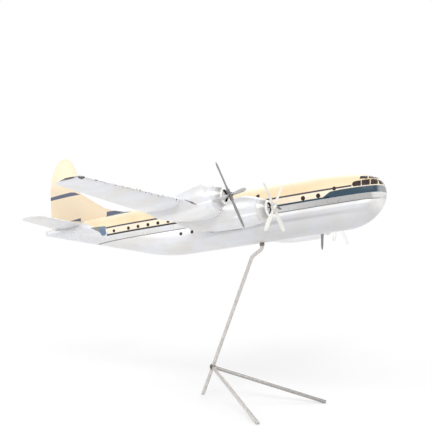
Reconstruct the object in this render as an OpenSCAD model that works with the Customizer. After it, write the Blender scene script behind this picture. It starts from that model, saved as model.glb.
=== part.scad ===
// Desk model of a four-engined airliner with a double-lobe fuselage, on a tripod stand of bent rod.
// The nose points to +X and up is +Z. The stand's feet rest on Z = 0, under the middle of the model.
// Fuselage stations run aft from the nose tip, heights run from the crease where the two lobes meet,
// and engines are numbered from the left wing tip to the right one.

/* [Fuselage] */
// Length from the nose tip to the cut end of the tail cone
body_len = 653.7; // [600:0.1:720]
// Height of the fuselage top above the crease, amidships
top_h = 52.5; // [46:0.5:58]
// Depth of the belly below the crease, amidships
belly_d = 39.6; // [35:0.2:44]
// Depth below the crease that the circle of the upper lobe reaches
lobe_d = 14.5; // [12:0.5:17]
// Height of the nose tip above the crease
nose_h = 5.4; // [3:0.1:10]
// Length over which the top line rises from the nose
nose_top_len = 125; // [100:1:140]
// Length over which the sides round out from the nose
nose_side_len = 38; // [30:1:50]
// Length over which the belly rounds out from the nose
nose_belly_len = 67; // [55:1:80]
// Length in which the crease curves up to the nose tip
nose_crease_len = 12; // [8:0.5:18]
// Height of the underside of the tail cone's end
tail_low_h = 32.1; // [28:0.1:36]
// Height of the top of the tail cone's end
tail_top_h = 41.3; // [38:0.1:46]
// Slope of the underside of the rear fuselage
tail_angle = 15.56; // [14:0.1:18]
// Station where the top line starts to fall
top_fall_s = 432; // [380:1:480]
// Wall of the two fuselage shells
shell_wall = 2.6; // [1.8:0.1:3.6]
// Length of the solid nose block that balances the model on its stand
nose_block_len = 50; // [30:1:70]
// Station of the bulkhead that closes the lower shell's hollow
bulkhead_s = 472; // [430:1:480]
// Station where the upper shell's hollow ends in the solid tail block
tail_block_s = 572; // [550:1:580]

/* [Windows] */
// Diameter of a cabin window
window_d = 4.6; // [3:0.1:6]
// Thickness of a window disc or cockpit pane
pane_t = 0.35; // [0.25:0.05:0.6]
// Height of the row of cabin windows
window_h = 15.6; // [10:0.1:20]
// Depth of the pair of lower-deck windows below the crease
low_window_d = 8.2; // [5:0.1:12]
// Station of the first of the windows ahead of the wing
front_window_s = 98.3; // [90:0.1:110]
// Spacing of the windows ahead of the wing
front_pitch = 26; // [20:0.5:32]
// Station of the window behind the cockpit
nose_window_s = 71; // [64:0.5:80]
// Height of the window behind the cockpit
nose_window_h = 23; // [16:0.5:28]
// Station of the high window over the wing's leading edge
wing_window_s = 203.6; // [190:0.1:215]
// Height of that window
wing_window_h = 31.7; // [24:0.1:36]
// Station of the first of the windows aft of the wing
rear_window_s = 374; // [360:0.5:385]
// Spacing of the windows aft of the wing
rear_pitch = 20.1; // [16:0.1:23]
// Station of the aftmost window
last_window_s = 486; // [478:0.5:500]
// Station of the first lower-deck window
low_window_s = 331.6; // [320:0.1:345]

/* [Wings] */
// Distance from the centre line to a wing tip
half_span = 414; // [360:1:460]
// Chord of the wing at the centre line
root_chord = 107; // [95:1:120]
// Chord of the wing at the tip, before it is rounded
tip_chord = 47; // [38:1:56]
// Station of the leading edge at the centre line
wing_s = 217.7; // [205:0.1:228]
// Sweep of the leading edge
wing_sweep = 8.3; // [5:0.1:11]
// Rise of the wings towards their tips
dihedral = 3.4; // [2:0.1:5]
// Angle of the wing chord to the fuselage
incidence = 3; // [1:0.1:4]
// Thickness of the wing root as a share of its chord
root_thick = 0.21; // [0.17:0.01:0.23]
// Thickness of the wing tip as a share of its chord
tip_thick = 0.1; // [0.08:0.01:0.14]
// Length of the fillet behind the wing root
root_fillet = 12; // [6:1:18]
// Spanwise length of the rounded wing tip
tip_round = 9; // [7:1:14]

/* [Tail] */
// Height of the fin's top above the crease
fin_h = 168; // [150:0.5:180]
// Station of the fin's trailing edge at its foot
fin_rear_s = 641; // [634:0.1:650]
// Distance from the centre line to a tailplane's tip
tail_half_span = 120; // [104:1:136]
// Chord of the tailplane at the centre line
tail_root_chord = 62; // [54:1:70]
// Chord of the tailplane's tip
tail_tip_chord = 45; // [37:1:53]
// Station of the tailplane's trailing edge
tail_rear_s = 628; // [618:0.1:636]
// Height of the tailplane at the centre line
tailplane_h = 40; // [38:0.5:41]
// Rise of the tailplanes towards their tips
tail_dihedral = 3.5; // [0:0.5:6]

/* [Engines] */
// Distance from the centre line to an inner engine
inner_y = 92.3; // [86:0.1:100]
// Distance from the centre line to an outer engine
outer_y = 201; // [190:0.5:215]
// Station of an inner propeller
inner_prop_s = 147.7; // [138:0.1:152]
// Station of an outer propeller
outer_prop_s = 164.7; // [155:0.1:170]
// Height of an inner propeller's hub
inner_prop_h = -2; // [-4:0.5:2]
// Height of an outer propeller's hub
outer_prop_h = 6.5; // [4:0.5:9]
// Distance from the propeller to the lip of the cowling
cowl_gap = 7.5; // [7:0.1:10]
// Length of the cowling ring
cowl_len = 14; // [11:0.5:16]
// Radius of the cowling's opening
cowl_mouth_r = 9; // [8:0.1:9.8]
// Outer radius of the cowling's lip
cowl_lip_r = 10.6; // [10.2:0.1:11.4]
// Outer radius of the cowling's rear edge
cowl_rear_r = 15.2; // [14:0.1:17]
// Height of an inner nacelle's top above its propeller's hub
inner_nacelle_r = 25; // [21:0.5:28]
// Height of an outer nacelle's top above its propeller's hub
outer_nacelle_r = 21.5; // [18:0.5:24]
// Depth of a nacelle's keel below its propeller's hub
nacelle_keel = 24; // [21:0.5:27]
// Half width of the nacelle
nacelle_w = 17; // [15:0.5:20]
// Angle by which each nacelle's tail leans to the left wing, as the outer right one does
nacelle_lean = [0, 0, 0, 9];

/* [Propellers] */
// Radius of a propeller
prop_r = 51.8; // [45:0.2:56]
// Widest chord of a blade
blade_chord = 7.2; // [5.5:0.1:8.5]
// Thickness of a blade at its root
blade_root_t = 3; // [2.2:0.1:3.6]
// Pitch of the blade tips of each propeller, as the photographed ones are twisted
blade_pitch = [30, 4, 58, 2];
// Twist of a blade from its tip to its root
blade_twist = 12; // [6:1:20]
// Diameter of the pin that a propeller turns on
pin_d = 2.4; // [1.8:0.1:3]
// Radial clearance of a propeller on its pin
pin_play = 0.06; // [0.03:0.01:0.09]
// Tilt of each propeller's pin, nose up
pin_up = [2, -3, -5.7, 11.3];
// Turn of each propeller's pin towards the right wing
pin_right = [-2, 2, -2.9, 5.9];
// Turn of each propeller about its pin, as the photographed one stands
prop_turn = [45, 8, 39.7, 72.3];

/* [Stand] */
// Diameter of the stand's rod
rod_d = 6; // [5:0.1:7]
// Height of the stand, from the floor to the belly
stand_h = 273.3; // [240:0.5:310]
// Distance of the rear foot behind the socket
rear_foot = 130.3; // [120:0.5:140]
// Distance of the front feet ahead of the socket
front_foot = 65.6; // [58:0.5:75]
// Distance of each front foot from the middle
foot_half = 89.7; // [80:0.5:100]
// Turn of the stand below the model
stand_turn = -13.6; // [-20:0.5:0]
// Radius of the ball of weld at the joint of the three rods
weld_r = 5.5; // [5:0.1:6.5]
// Height of the joint of the three rods above the floor
knot_h = 51.6; // [44:0.5:60]
// Distance of the upper end of the long slope behind the socket
bend_back = 24.5; // [20:0.5:28]
// Distance of that point below the socket
bend_drop = 34; // [30:0.5:40]
// Length of the upright end that enters the belly, below the socket
stub_len = 7; // [5:0.5:9]
// Inner radius of the rod's two bends
bend_r = 6; // [4:0.5:8]
// Nose-up angle of the model on the stand
nose_up = 10.5; // [6:0.5:13]
// Roll of the model on the stand, right wing up
roll = 10; // [5:0.5:12]
// Station of the stand's socket
socket_s = 218.5; // [210:0.5:232]

/* [Hidden] */
$fn = 48;
silver = [0.78, 0.79, 0.8];
cream = [0.94, 0.89, 0.77];
steel = [0.5, 0.5, 0.5];
glass_black = [0.1, 0.1, 0.12];
fit_gap = 0.05;
small = 0.01;
tail_slope = tan(tail_angle);
socket_h = -38;
rod_r = rod_d / 2;

// Fuselage lines, as functions of the station. A power of 0.5 rounds the nose as an ellipse,
// and a smaller one makes it blunter
top_power = 0.285;
side_power = 0.34;
belly_power = 0.61;
// Half lengths of the bends where the belly and the lobe's depth start to rise towards the tail
belly_blend = 40;
lobe_blend = 52;
function clamp01(t) = max(0, min(1, t));
function round_out(s, len, power) = pow(1 - pow(1 - clamp01(s / len), 2), power);
function kink_s(base) = body_len - (tail_low_h - base) / tail_slope;
function rise(s, base, blend) =
    let (d = s - kink_s(base))
    d < -blend ? base : d > blend ? base + d * tail_slope : base + tail_slope * pow(d + blend, 2) / (4 * blend);
function fall(s) = (top_h - tail_top_h) * pow(clamp01((s - top_fall_s) / (body_len - top_fall_s)), 1.3);
function top_z(s) = nose_h + (top_h - nose_h) * round_out(s, nose_top_len, top_power) - fall(s);
function belly_z(s) =
    nose_h + (rise(s, -belly_d, belly_blend) - nose_h) * round_out(s, nose_belly_len, belly_power);
function crease_half(s) =
    sqrt(max(0, -rise(s, -lobe_d, lobe_blend)) * top_z(s)) * round_out(s, nose_side_len, side_power);
crease_end_s = kink_s(-lobe_d) + lobe_d / tail_slope;
function crease_z(s) =
    s > crease_end_s ? belly_z(s) : nose_h * pow(1 - clamp01(s / nose_crease_len), 2);
function upper_half(s) = max(crease_half(s), 0.05);
function upper_r(s) =
    let (h = top_z(s) - crease_z(s)) (pow(upper_half(s), 2) + h * h) / (2 * h);
function lower_r(s) =
    let (h = crease_z(s) - belly_z(s)) (pow(crease_half(s), 2) + h * h) / (2 * h);
function upper_centre(s) = top_z(s) - upper_r(s);
function lower_centre(s) = belly_z(s) + lower_r(s);

// Rings of points round the upper and the lower lobe; inset moves them inwards, and cut_z closes them
function arc_ring(s, zc, r, from, to, n) =
    [for (i = [0 : n]) let (a = from + (to - from) * i / n) [-s, r * cos(a), zc + r * sin(a)]];
function upper_ring(s, inset, drop, n) =
    let (r = upper_r(s) - inset, zc = upper_centre(s), a = asin(max(-0.9995, (crease_z(s) - drop - zc) / r)))
    arc_ring(s, zc, r, a, 180 - a, n);
function lower_ring(s, inset, lift, n) =
    let (r = lower_r(s) - inset, zc = lower_centre(s), a = asin(min(1, (crease_z(s) + lift - zc) / r)))
    arc_ring(s, zc, r, -180 - a, a, n);

// A solid skinned over rings with the same number of points, with its faces turned outwards
function total(v, i = 0) = i < len(v) ? v[i] + total(v, i + 1) : [0, 0, 0];
function ring_normal(r) = total([for (i = [1 : len(r) - 2]) cross(r[i] - r[0], r[i + 1] - r[0])]);
module loft(rings) {
    m = len(rings);
    turned = ring_normal(rings[1]) * (rings[m - 1][0] - rings[0][0]) > 0;
    points = [for (r = rings) each turned ? r : [for (i = [len(r) - 1 : -1 : 0]) r[i]]];
    n = len(rings[0]);
    polyhedron(
        points = points,
        faces = concat(
            [[for (i = [0 : n - 1]) i]],
            [[for (i = [n - 1 : -1 : 0]) (m - 1) * n + i]],
            [for (j = [0 : m - 2]) for (i = [0 : n - 1])
                let (k = (i + 1) % n)
                each [[j * n + i, (j + 1) * n + i, (j + 1) * n + k], [j * n + i, (j + 1) * n + k, j * n + k]]]
        ),
        convexity = 8
    );
}

// Stations that crowd towards the nose, run straight amidships, then follow the rising belly
nose_steps = 12;
mid_steps = 4;
tail_steps = 12;
tail_start_s = kink_s(-belly_d) - belly_blend - 5;
function body_stations(end) = concat(
    [for (i = [1 : nose_steps]) nose_top_len * pow(i / nose_steps, 3)],
    [for (i = [1 : mid_steps]) nose_top_len + (tail_start_s - nose_top_len) * i / mid_steps],
    [for (i = [1 : tail_steps]) tail_start_s + (end - tail_start_s) * i / tail_steps]
);
hollow_steps = 10;
function hollow_stations(end) =
    [for (i = [0 : hollow_steps]) nose_block_len + (end - nose_block_len) * pow(i / hollow_steps, 1.4)];
upper_n = 32;
lower_n = 22;
hollow_n = 14;

// The lobes as closed forms; to seat another piece, only the stretch beside it is made, grown by a clearance
function between(list, from, to) = [for (s = list) if (s >= from && s <= to) s];
module upper_form(grow = 0, drop = 0, from = 0, to = body_len + 1)
    loft([for (s = between(body_stations(body_len), from, to)) upper_ring(s, -grow, drop, upper_n)]);
module lower_form(grow = 0, lift = 0, from = 0, to = body_len + 1)
    loft([for (s = between(body_stations(crease_end_s - 3), from, to)) lower_ring(s, -grow, lift, lower_n)]);
module upper_hollow() loft([for (s = hollow_stations(tail_block_s)) upper_ring(s, shell_wall, 1, hollow_n)]);
module lower_hollow(clear = 0, lift = 1)
    loft([for (s = hollow_stations(bulkhead_s)) lower_ring(s, shell_wall + clear, lift, hollow_n)]);
module upper_tail_form(grow) upper_form(grow, 1, bulkhead_s - 40);
module body_form(grow) {
    upper_form(grow, 1, wing_s - 50, wing_s + root_chord + 50);
    lower_form(grow, 1, wing_s - 50, wing_s + root_chord + 50);
}

// Wing section: a symmetric aerofoil with a thin round nose, with its points from tail to nose to tail
section_n = 8;
foil_edge = 0.2;
function foil_t(x) = 1.4845 * sqrt(x) - 0.63 * x - 1.758 * x * x + 1.4215 * pow(x, 3) - 0.5075 * pow(x, 4);
function foil(chord, thick) = concat(
    [for (i = [section_n : -1 : 0])
        let (x = (1 - cos(180 * i / section_n)) / 2) [x * chord, thick * chord * foil_t(x) + foil_edge]],
    [for (i = [0 : section_n])
        let (x = (1 - cos(180 * i / section_n)) / 2) [x * chord, -thick * chord * foil_t(x) - foil_edge]]
);
// Share of the chord and thickness left at a distance from the start of a rounded tip
function tip_keep(t) = sqrt(max(0.02, 1 - t * t));

// Wing lines, as functions of the distance from the centre line. The fillet behind the root ends at
// fillet_span from the side, and the nose of the rounded tip goes back by wing_tip_back of the chord
fillet_span = 24;
wing_tip_back = 0.45;
function wing_lead(y) = wing_s + y * tan(wing_sweep);
function plain_chord(y) = root_chord + (tip_chord - root_chord) * y / half_span;
function wing_tip_t(y) = clamp01((y - half_span + tip_round) / tip_round);
function wing_chord(y) =
    plain_chord(y) * (0.1 + 0.9 * pow(tip_keep(wing_tip_t(y)), 1.8))
    + root_fillet * pow(clamp01((root_y + fillet_span - y) / fillet_span), 2);
function wing_nose(y) = wing_lead(y) + plain_chord(y) * wing_tip_back * (1 - tip_keep(wing_tip_t(y)));
function wing_thick(y) =
    (root_thick + (tip_thick - root_thick) * y / half_span) * tip_keep(wing_tip_t(y));
root_y = sqrt(lobe_d * top_h);
function wing_z(y) = y * tan(dihedral);
wing_stations = concat(
    [root_y - 6, root_y + 2, root_y + 8, root_y + 15, root_y + fillet_span],
    [for (i = [1 : 5]) root_y + fillet_span + (half_span - tip_round - root_y - fillet_span) * i / 5],
    [for (i = [1 : 5]) half_span - tip_round * (1 - sin(18 * i))]
);
function wing_ring(y, side) = [
    for (p = foil(wing_chord(y), wing_thick(y)))
        [-(wing_nose(y) + p[0]), side * y, wing_z(y) + p[1] - p[0] * sin(incidence)]
];
module wing_form(side) loft([for (y = wing_stations) wing_ring(y, side)]);

// The spar bar that joins the wings through the lower shell
spar_half = 58;
spar_w = 12;
spar_t = 5;
spar_s = wing_s + 0.34 * root_chord;
spar_z = -4.2;
module spar_box(clear) {
    translate([-spar_s, 0, spar_z])
        cube([spar_w + 2 * clear, 2 * (spar_half + clear), spar_t + 2 * clear], center = true);
}

// The tail dowel and the fin's pin
dowel_r = 2;
dowel_half = 34;
dowel_lift = 0.6;
dowel_s = tail_rear_s - 0.55 * tail_root_chord;
fin_pin_r = 1.5;
fin_pin_s = fin_rear_s - 40;
fin_pin_len = 26;
module dowel(r) {
    translate([-dowel_s, 0, tailplane_h + dowel_lift]) rotate([90, 0, 0])
        cylinder(r = r, h = 2 * dowel_half, center = true);
}
module fin_stud(r) {
    translate([-fin_pin_s, 0, top_z(fin_pin_s) - fin_pin_len / 2]) cylinder(r = r, h = fin_pin_len);
}

// The axis of the stand's upright stub, in the model's own frame
module at_socket() {
    translate([-socket_s, 0, socket_h]) rotate([roll, 0, 0]) rotate([0, nose_up, 0]) children();
}

module fuselage_upper_shell() {
    color(cream) difference() {
        upper_form();
        upper_hollow();
        dowel(dowel_r + fit_gap);
        fin_stud(fin_pin_r + fit_gap);
    }
}

module fuselage_lower_shell() {
    color(silver) difference() {
        lower_form();
        lower_hollow();
        spar_box(fit_gap);
        at_socket() cylinder(r = rod_r + 0.15, h = 30, center = true);
    }
}

module wing(side) {
    color(silver) difference() {
        wing_form(side);
        body_form(fit_gap);
        spar_box(fit_gap);
    }
}
module wing_right() wing(-1);
module wing_left() wing(1);
module wing_spar() color(steel) spar_box(0);

// Windows: discs that lie on the sides of the lobes, tilted to the taper of the fuselage there
window_lift = 0.04;
function side_y(s, z, upper) =
    let (r = upper ? upper_r(s) : lower_r(s), zc = upper ? upper_centre(s) : lower_centre(s))
    sqrt(r * r - (z - zc) * (z - zc));
module window(s, z, side, upper = true) {
    r = upper ? upper_r(s) : lower_r(s);
    up = asin((z - (upper ? upper_centre(s) : lower_centre(s))) / r);
    back = atan(side_y(s + 0.5, z, upper) - side_y(s - 0.5, z, upper));
    translate([-s, side * side_y(s, z, upper), z])
        rotate([0, 0, side * (90 - back)]) rotate([0, 90 - up, 0])
            translate([0, 0, window_lift]) cylinder(r = window_d / 2, h = pane_t);
}
front_windows = 2;
rear_windows = 5;
low_windows = 2;
low_pitch = 21.5;
module windows(side) {
    color(glass_black) {
        for (i = [0 : front_windows - 1]) window(front_window_s + i * front_pitch, window_h, side);
        window(nose_window_s, nose_window_h, side);
        window(wing_window_s, wing_window_h, side);
        for (i = [0 : rear_windows - 1]) window(rear_window_s + i * rear_pitch, window_h, side);
        window(last_window_s, window_h, side);
        for (i = [0 : low_windows - 1]) window(low_window_s + i * low_pitch, -low_window_d, side, false);
    }
}
module windows_right() windows(-1);
module windows_left() windows(1);

// Cockpit glazing: a thin skin over the nose, cut into panes. The lower panes are seen along a direction
// turned from straight ahead: [that direction, outline across it and upwards]
low_panes = [
    [75, [[-46.8, 20.6], [-34.6, 20.2], [-34.2, 29.6], [-44.6, 29.4], [-47.8, 27.2], [-48.6, 24]]],
    [70, [[-34.9, 20.2], [-22.6, 20.2], [-21.6, 30.4], [-34.1, 29.8]]],
    [45, [[-26, 20.4], [-14.2, 20.8], [-10.6, 30.6], [-22.2, 30.4]]],
    [15, [[-13.2, 20.9], [-2.4, 21], [-2.6, 28.8], [-9.9, 30.2]]]
];
// The upper panes as outlines seen from above, ahead and to the side
high_panes = [
    [[-31.6, -20], [-20.3, -16], [-22, -10.4], [-32.1, -15.6]],
    [[-18.9, -14.8], [-11.9, -8.2], [-14.4, -5], [-20.8, -8.9]],
    [[-11.4, -6.6], [-9.8, -1.4], [-12.6, -1.4], [-13.6, -4.2]]
];
glazing_end_s = 80;
prism_back = 12;
prism_len = 60;
high_prism_z = nose_h + 20;
module glazing_skin() {
    difference() {
        translate([window_lift + pane_t, 0, 0]) upper_form(window_lift + pane_t, 0, 0, glazing_end_s);
        translate([window_lift, 0, 0]) upper_form(window_lift, 1, 0, glazing_end_s + 20);
    }
}
module pane_prisms() {
    for (p = low_panes) rotate([0, 0, -p[0]]) translate([-prism_back, 0, 0])
        rotate([90, 0, 90]) linear_extrude(prism_len) polygon(p[1]);
    for (p = high_panes) translate([0, 0, high_prism_z]) linear_extrude(prism_len) polygon(p);
}
module cockpit_windows() {
    color(glass_black) intersection() {
        glazing_skin();
        union() {
            pane_prisms();
            mirror([0, 1, 0]) pane_prisms();
        }
    }
}

// Fin: sections stacked from the top down, with a dorsal fillet that runs forward at the foot
fin_base_z = tail_top_h - 3;
fin_main_chord = 66;
fin_top_back = 35.6;
fin_top_s = fin_rear_s - fin_top_back;
fin_front_s = fin_rear_s - fin_main_chord;
// Heights where the fin's two edges start to bend over towards its domed top
front_bend_h = 100;
rear_bend_h = 90;
function fin_share(z, from) = clamp01((z - from) / (fin_h - from));
function fin_rear(z) = fin_top_s + (fin_rear_s - fin_top_s) * sqrt(1 - pow(fin_share(z, rear_bend_h), 2.4));
// Below the bend the front edge slopes forward, and nearer the fuselage it sweeps out into the dorsal fillet
dorsal_slope = 1.453;
dorsal_curve = 0.088;
dorsal_curve_h = 68;
dorsal_s = 462;
function fin_front(z) = z > front_bend_h
    ? fin_top_s - (fin_top_s - fin_front_s) * sqrt(1 - pow(fin_share(z, front_bend_h), 2))
    : max(dorsal_s, fin_front_s - dorsal_slope * (front_bend_h - z)
        - dorsal_curve * pow(max(0, dorsal_curve_h - z), 2));
dome_steps = 7;
dorsal_steps = 8;
fin_top_cut = 0.5;
dome_h = fin_h - fin_top_cut - front_bend_h;
fin_stations = concat(
    [for (i = [dome_steps : -1 : 1]) front_bend_h + dome_h * sin(90 * i / dome_steps)],
    [for (i = [dorsal_steps : -1 : 0]) fin_base_z + (front_bend_h - fin_base_z) * pow(i / dorsal_steps, 1.2)]
);
fin_thick = 9.5;
function fin_ring(z) =
    let (front = fin_front(z), c = fin_rear(z) - front,
        thick = fin_thick * min(1, c / fin_main_chord + 0.1) / c)
    [for (p = foil(c, thick)) [-(front + p[0]), p[1], z]];
module tail_fin() {
    color(cream) difference() {
        loft([for (z = fin_stations) fin_ring(z)]);
        upper_tail_form(fit_gap);
        fin_stud(fin_pin_r + fit_gap);
    }
}
module fin_pin() color(steel) fin_stud(fin_pin_r);

// Tailplanes: the length of the rounded tip, how far the tip's trailing edge stands ahead of the root's,
// how far back the rounded tip's nose goes as a share of the chord, and the thickness as a share of it
tail_tip_round = 24;
tail_rear_sweep = 3.5;
tail_tip_back = 0.48;
tail_thick = 0.12;
function tail_tip_t(y) = clamp01((y - tail_half_span + tail_tip_round) / tail_tip_round);
function tail_plain(y) = tail_root_chord + (tail_tip_chord - tail_root_chord) * y / tail_half_span;
function tail_chord(y) = tail_plain(y) * pow(tip_keep(tail_tip_t(y)), 1.1);
function tail_nose(y) = tail_rear_s - tail_plain(y) - tail_rear_sweep * y / tail_half_span
    + tail_plain(y) * tail_tip_back * (1 - tip_keep(tail_tip_t(y)));
tail_stations = concat(
    [4, 12, 28, 62, tail_half_span - tail_tip_round],
    [for (i = [1 : 5]) tail_half_span - tail_tip_round * (1 - sin(18 * i))]
);
function tail_ring(y, side) = [
    for (p = foil(tail_chord(y), tail_thick * tip_keep(tail_tip_t(y))))
        [-(tail_nose(y) + p[0]), side * y, tailplane_h + y * tan(tail_dihedral) + p[1]]
];
module tailplane(side) {
    color(silver) difference() {
        loft([for (y = tail_stations) tail_ring(y, side)]);
        upper_tail_form(fit_gap);
        dowel(dowel_r + fit_gap);
    }
}
module tailplane_right() tailplane(-1);
module tailplane_left() tailplane(1);
module tail_dowel() color(steel) dowel(dowel_r);

// Engines: side, distance out, station and height of the propeller of each
engine_y = [outer_y, inner_y, -inner_y, -outer_y];
engine_s = [outer_prop_s, inner_prop_s, inner_prop_s, outer_prop_s];
engine_h = [outer_prop_h, inner_prop_h, inner_prop_h, outer_prop_h];
module at_engine(n) translate([-engine_s[n], engine_y[n], engine_h[n]]) rotate([0, -90, 0]) children();
module at_pin(n) {
    translate([-engine_s[n], engine_y[n], engine_h[n]])
        rotate([0, 0, -pin_right[n]]) rotate([0, -pin_up[n], 0]) rotate([0, 90, 0]) children();
}

// Nacelle: sections by distance u behind the propeller, from the cowling to just short of the trailing edge
cowl_rear_u = cowl_gap + cowl_len;
// Lengths of the straight barrel behind the cowling and of the swell after it
barrel_len = [8.5, 0, 0, 8.5];
swell_len = [18, 26, 26, 18];
nacelle_r = [outer_nacelle_r, inner_nacelle_r, inner_nacelle_r, outer_nacelle_r];
// Distance behind the propeller where the top starts to fall, and how the fall quickens
fall_u = [52, 58, 58, 52];
fall_power = [0.85, 1.25, 1.25, 0.85];
// The chin stands below the cowling's rear edge; the keel runs level from there and then rises
chin_r = 17.8;
keel_u = 62;
taper_u = 48;
tail_t = 1.5;
function tail_u(n) = wing_lead(abs(engine_y[n])) + plain_chord(abs(engine_y[n])) - engine_s[n] - 4;
function wing_rear_z(n) = wing_z(abs(engine_y[n])) - plain_chord(abs(engine_y[n])) * sin(incidence);
function swell(u, n) = sin(90 * clamp01((u - cowl_rear_u - barrel_len[n]) / swell_len[n]));
function nacelle_aft(u, from, n) = clamp01((u - from) / (tail_u(n) - from));
function nacelle_top(u, n) =
    cowl_rear_r + (nacelle_r[n] - cowl_rear_r) * swell(u, n)
    - (nacelle_r[n] + engine_h[n] - wing_rear_z(n) + tail_t) * pow(nacelle_aft(u, fall_u[n], n), fall_power[n]);
function nacelle_low(u, n) =
    -chin_r - (nacelle_keel - chin_r) * swell(u, n)
    + (nacelle_keel - engine_h[n] + wing_rear_z(n) - 4) * pow(nacelle_aft(u, keel_u, n), 3);
function nacelle_half(u, n) =
    (cowl_rear_r + (nacelle_w - cowl_rear_r) * swell(u, n)) * (1 - 0.88 * pow(nacelle_aft(u, taper_u, n), 1.1));
nacelle_points = 16;
function nacelle_ring(u, n) =
    let (t = nacelle_top(u, n), b = min(nacelle_low(u, n), t - tail_t), w = nacelle_half(u, n),
        y = engine_y[n] + (u - cowl_rear_u) * tan(nacelle_lean[n]))
    [for (i = [0 : nacelle_points - 1]) let (a = 360 * i / nacelle_points)
        [-engine_s[n] - u, y + w * cos(a), engine_h[n] + (t + b) / 2 + (t - b) / 2 * sin(a)]];
swell_steps = 4;
nacelle_steps = 8;
function nacelle_stations(n) =
    let (start = cowl_rear_u + small, full = cowl_rear_u + barrel_len[n] + swell_len[n]) concat(
        barrel_len[n] > 0 ? [start] : [],
        [for (i = [0 : swell_steps]) start + barrel_len[n] + swell_len[n] * i / swell_steps],
        [for (i = [1 : nacelle_steps]) full + (tail_u(n) - full) * i / nacelle_steps]
    );
module nacelle(n) {
    color(silver) difference() {
        loft([for (u = nacelle_stations(n)) nacelle_ring(u, n)]);
        wing_form(engine_y[n] > 0 ? 1 : -1);
    }
}

// Cowling: a ring with a rolled lip, round the engine
cowl_wall = 1.4;
module cowling(n) {
    lip_r = (cowl_lip_r - cowl_mouth_r) / 2;
    bore_swell = cowl_rear_r - cowl_wall - cowl_mouth_r;
    steps = 10;
    color(silver) at_engine(n) rotate_extrude() polygon(concat(
        [for (i = [0 : 6]) let (a = 180 + 180 * i / 6)
            [cowl_mouth_r + lip_r - lip_r * cos(a + 180), cowl_gap + lip_r + lip_r * sin(a)]],
        [for (i = [1 : steps]) let (t = i / steps)
            [cowl_lip_r + (cowl_rear_r - cowl_lip_r) * sin(90 * t), cowl_gap + lip_r + (cowl_len - lip_r) * t]],
        [for (i = [steps : -1 : 1]) let (t = i / steps)
            [cowl_mouth_r + bore_swell * sin(90 * t), cowl_gap + lip_r + (cowl_len - lip_r) * t]]
    ));
}

// Engine: a plate with a domed crankcase that carries the pin, and a ring of cylinders
boss_r = 3.6;
boss_u = cowl_gap + 3;
plate_t = 3;
cylinders = 9;
cylinder_r = 1.7;
cylinder_len = 4;
pin_end_u = cowl_rear_u - 3;
module engine(n) {
    plate_r = cowl_rear_r - cowl_wall - 0.35;
    color(glass_black) difference() {
        at_engine(n) {
            rotate_extrude() polygon([
                [0, boss_u], [boss_r - 1, boss_u], [boss_r, boss_u + 1], [boss_r + 1.4, boss_u + 5],
                [boss_r + 1.8, cowl_rear_u - plate_t], [plate_r, cowl_rear_u - plate_t],
                [plate_r, cowl_rear_u], [0, cowl_rear_u]
            ]);
            for (i = [0 : cylinders - 1]) rotate([0, 0, 360 * i / cylinders])
                translate([boss_r + 1.5, 0, cowl_rear_u - plate_t - 2]) rotate([0, 90, 0])
                    cylinder(r = cylinder_r, h = cylinder_len, $fn = 24);
        }
        at_pin(n) translate([0, 0, -pin_end_u - 1]) cylinder(r = pin_d / 2 + 0.02, h = cowl_rear_u);
    }
}

// Propeller pin: seated in the crankcase, with a round head ahead of the hub
hub_front = 5;
hub_back = 4;
pin_head_r = 2.2;
module propeller_pin(n) {
    color(steel) at_pin(n) rotate_extrude() polygon([
        [0, -pin_end_u], [pin_d / 2, -pin_end_u], [pin_d / 2, hub_front + 0.3], [pin_head_r, hub_front + 0.3],
        [pin_head_r, hub_front + 1.2], [pin_head_r - 0.7, hub_front + 2], [0, hub_front + 2.3]
    ]);
}

// Propeller: a hub with four blade sockets, and four twisted blades
hub_r = 4.4;
socket_r = 2.5;
socket_out = 8.5;
module at_blades(n) {
    at_pin(n) for (i = [0 : 3]) rotate([0, 0, -prop_turn[n] + 90 * i]) rotate([0, 90, 0]) children();
}
module propeller_hub(n) {
    color(steel) difference() {
        union() {
            at_pin(n) rotate_extrude() polygon([
                [0, -hub_back], [hub_r - 1, -hub_back], [hub_r, -hub_back + 1], [hub_r, 1.5],
                [hub_r - 0.8, 3.4], [hub_r - 2, hub_front], [0, hub_front]
            ]);
            at_blades(n) cylinder(r = socket_r, h = socket_out);
        }
        at_pin(n) cylinder(r = pin_d / 2 + pin_play, h = 40, center = true);
    }
}
blade_stations = [0, 0.08, 0.3, 0.6, 0.82, 0.95, 1];
function blade_w(t) = t > 0.8 ? blade_chord * sqrt(max(0.04, 1 - pow((t - 0.8) / 0.204, 2)))
    : blade_root_t + (blade_chord - blade_root_t) * sin(90 * clamp01(t / 0.35));
function blade_t(t) = blade_root_t * (1 - 0.93 * pow(clamp01(t * 1.15), 0.55)) + 0.5;
function blade_ring(t, n) =
    let (r = socket_out + small + (prop_r - socket_out) * t, a = blade_pitch[n] + blade_twist * (1 - t))
    [for (i = [0 : 7]) let (b = -45 * i, x = blade_t(t) / 2 * cos(b), y = blade_w(t) / 2 * sin(b))
        [x * cos(a) - y * sin(a), x * sin(a) + y * cos(a), r]];
module propeller_blades(n) {
    color(steel) at_blades(n) loft([for (t = blade_stations) blade_ring(t, n)]);
}

// Stand: the long rod's path lies in one plane, [distance ahead, height] from the socket
slope_start = [-bend_back, -bend_drop];
slope_end = [-rear_foot, -stand_h];
slope_len = norm(slope_end - slope_start);
slope_dir = (slope_end - slope_start) / slope_len;
slope_a = atan2(-slope_dir[0], -slope_dir[1]);
// Direction of the short sloping part between the bends, measured back from straight down
jog_a = 56;
mid_r = bend_r + rod_r;
first_end = [-mid_r * (1 - cos(jog_a)), -stub_len - mid_r * sin(jog_a)];
second_turn = mid_r * [cos(jog_a) - cos(slope_a), sin(slope_a) - sin(jog_a)];
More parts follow.
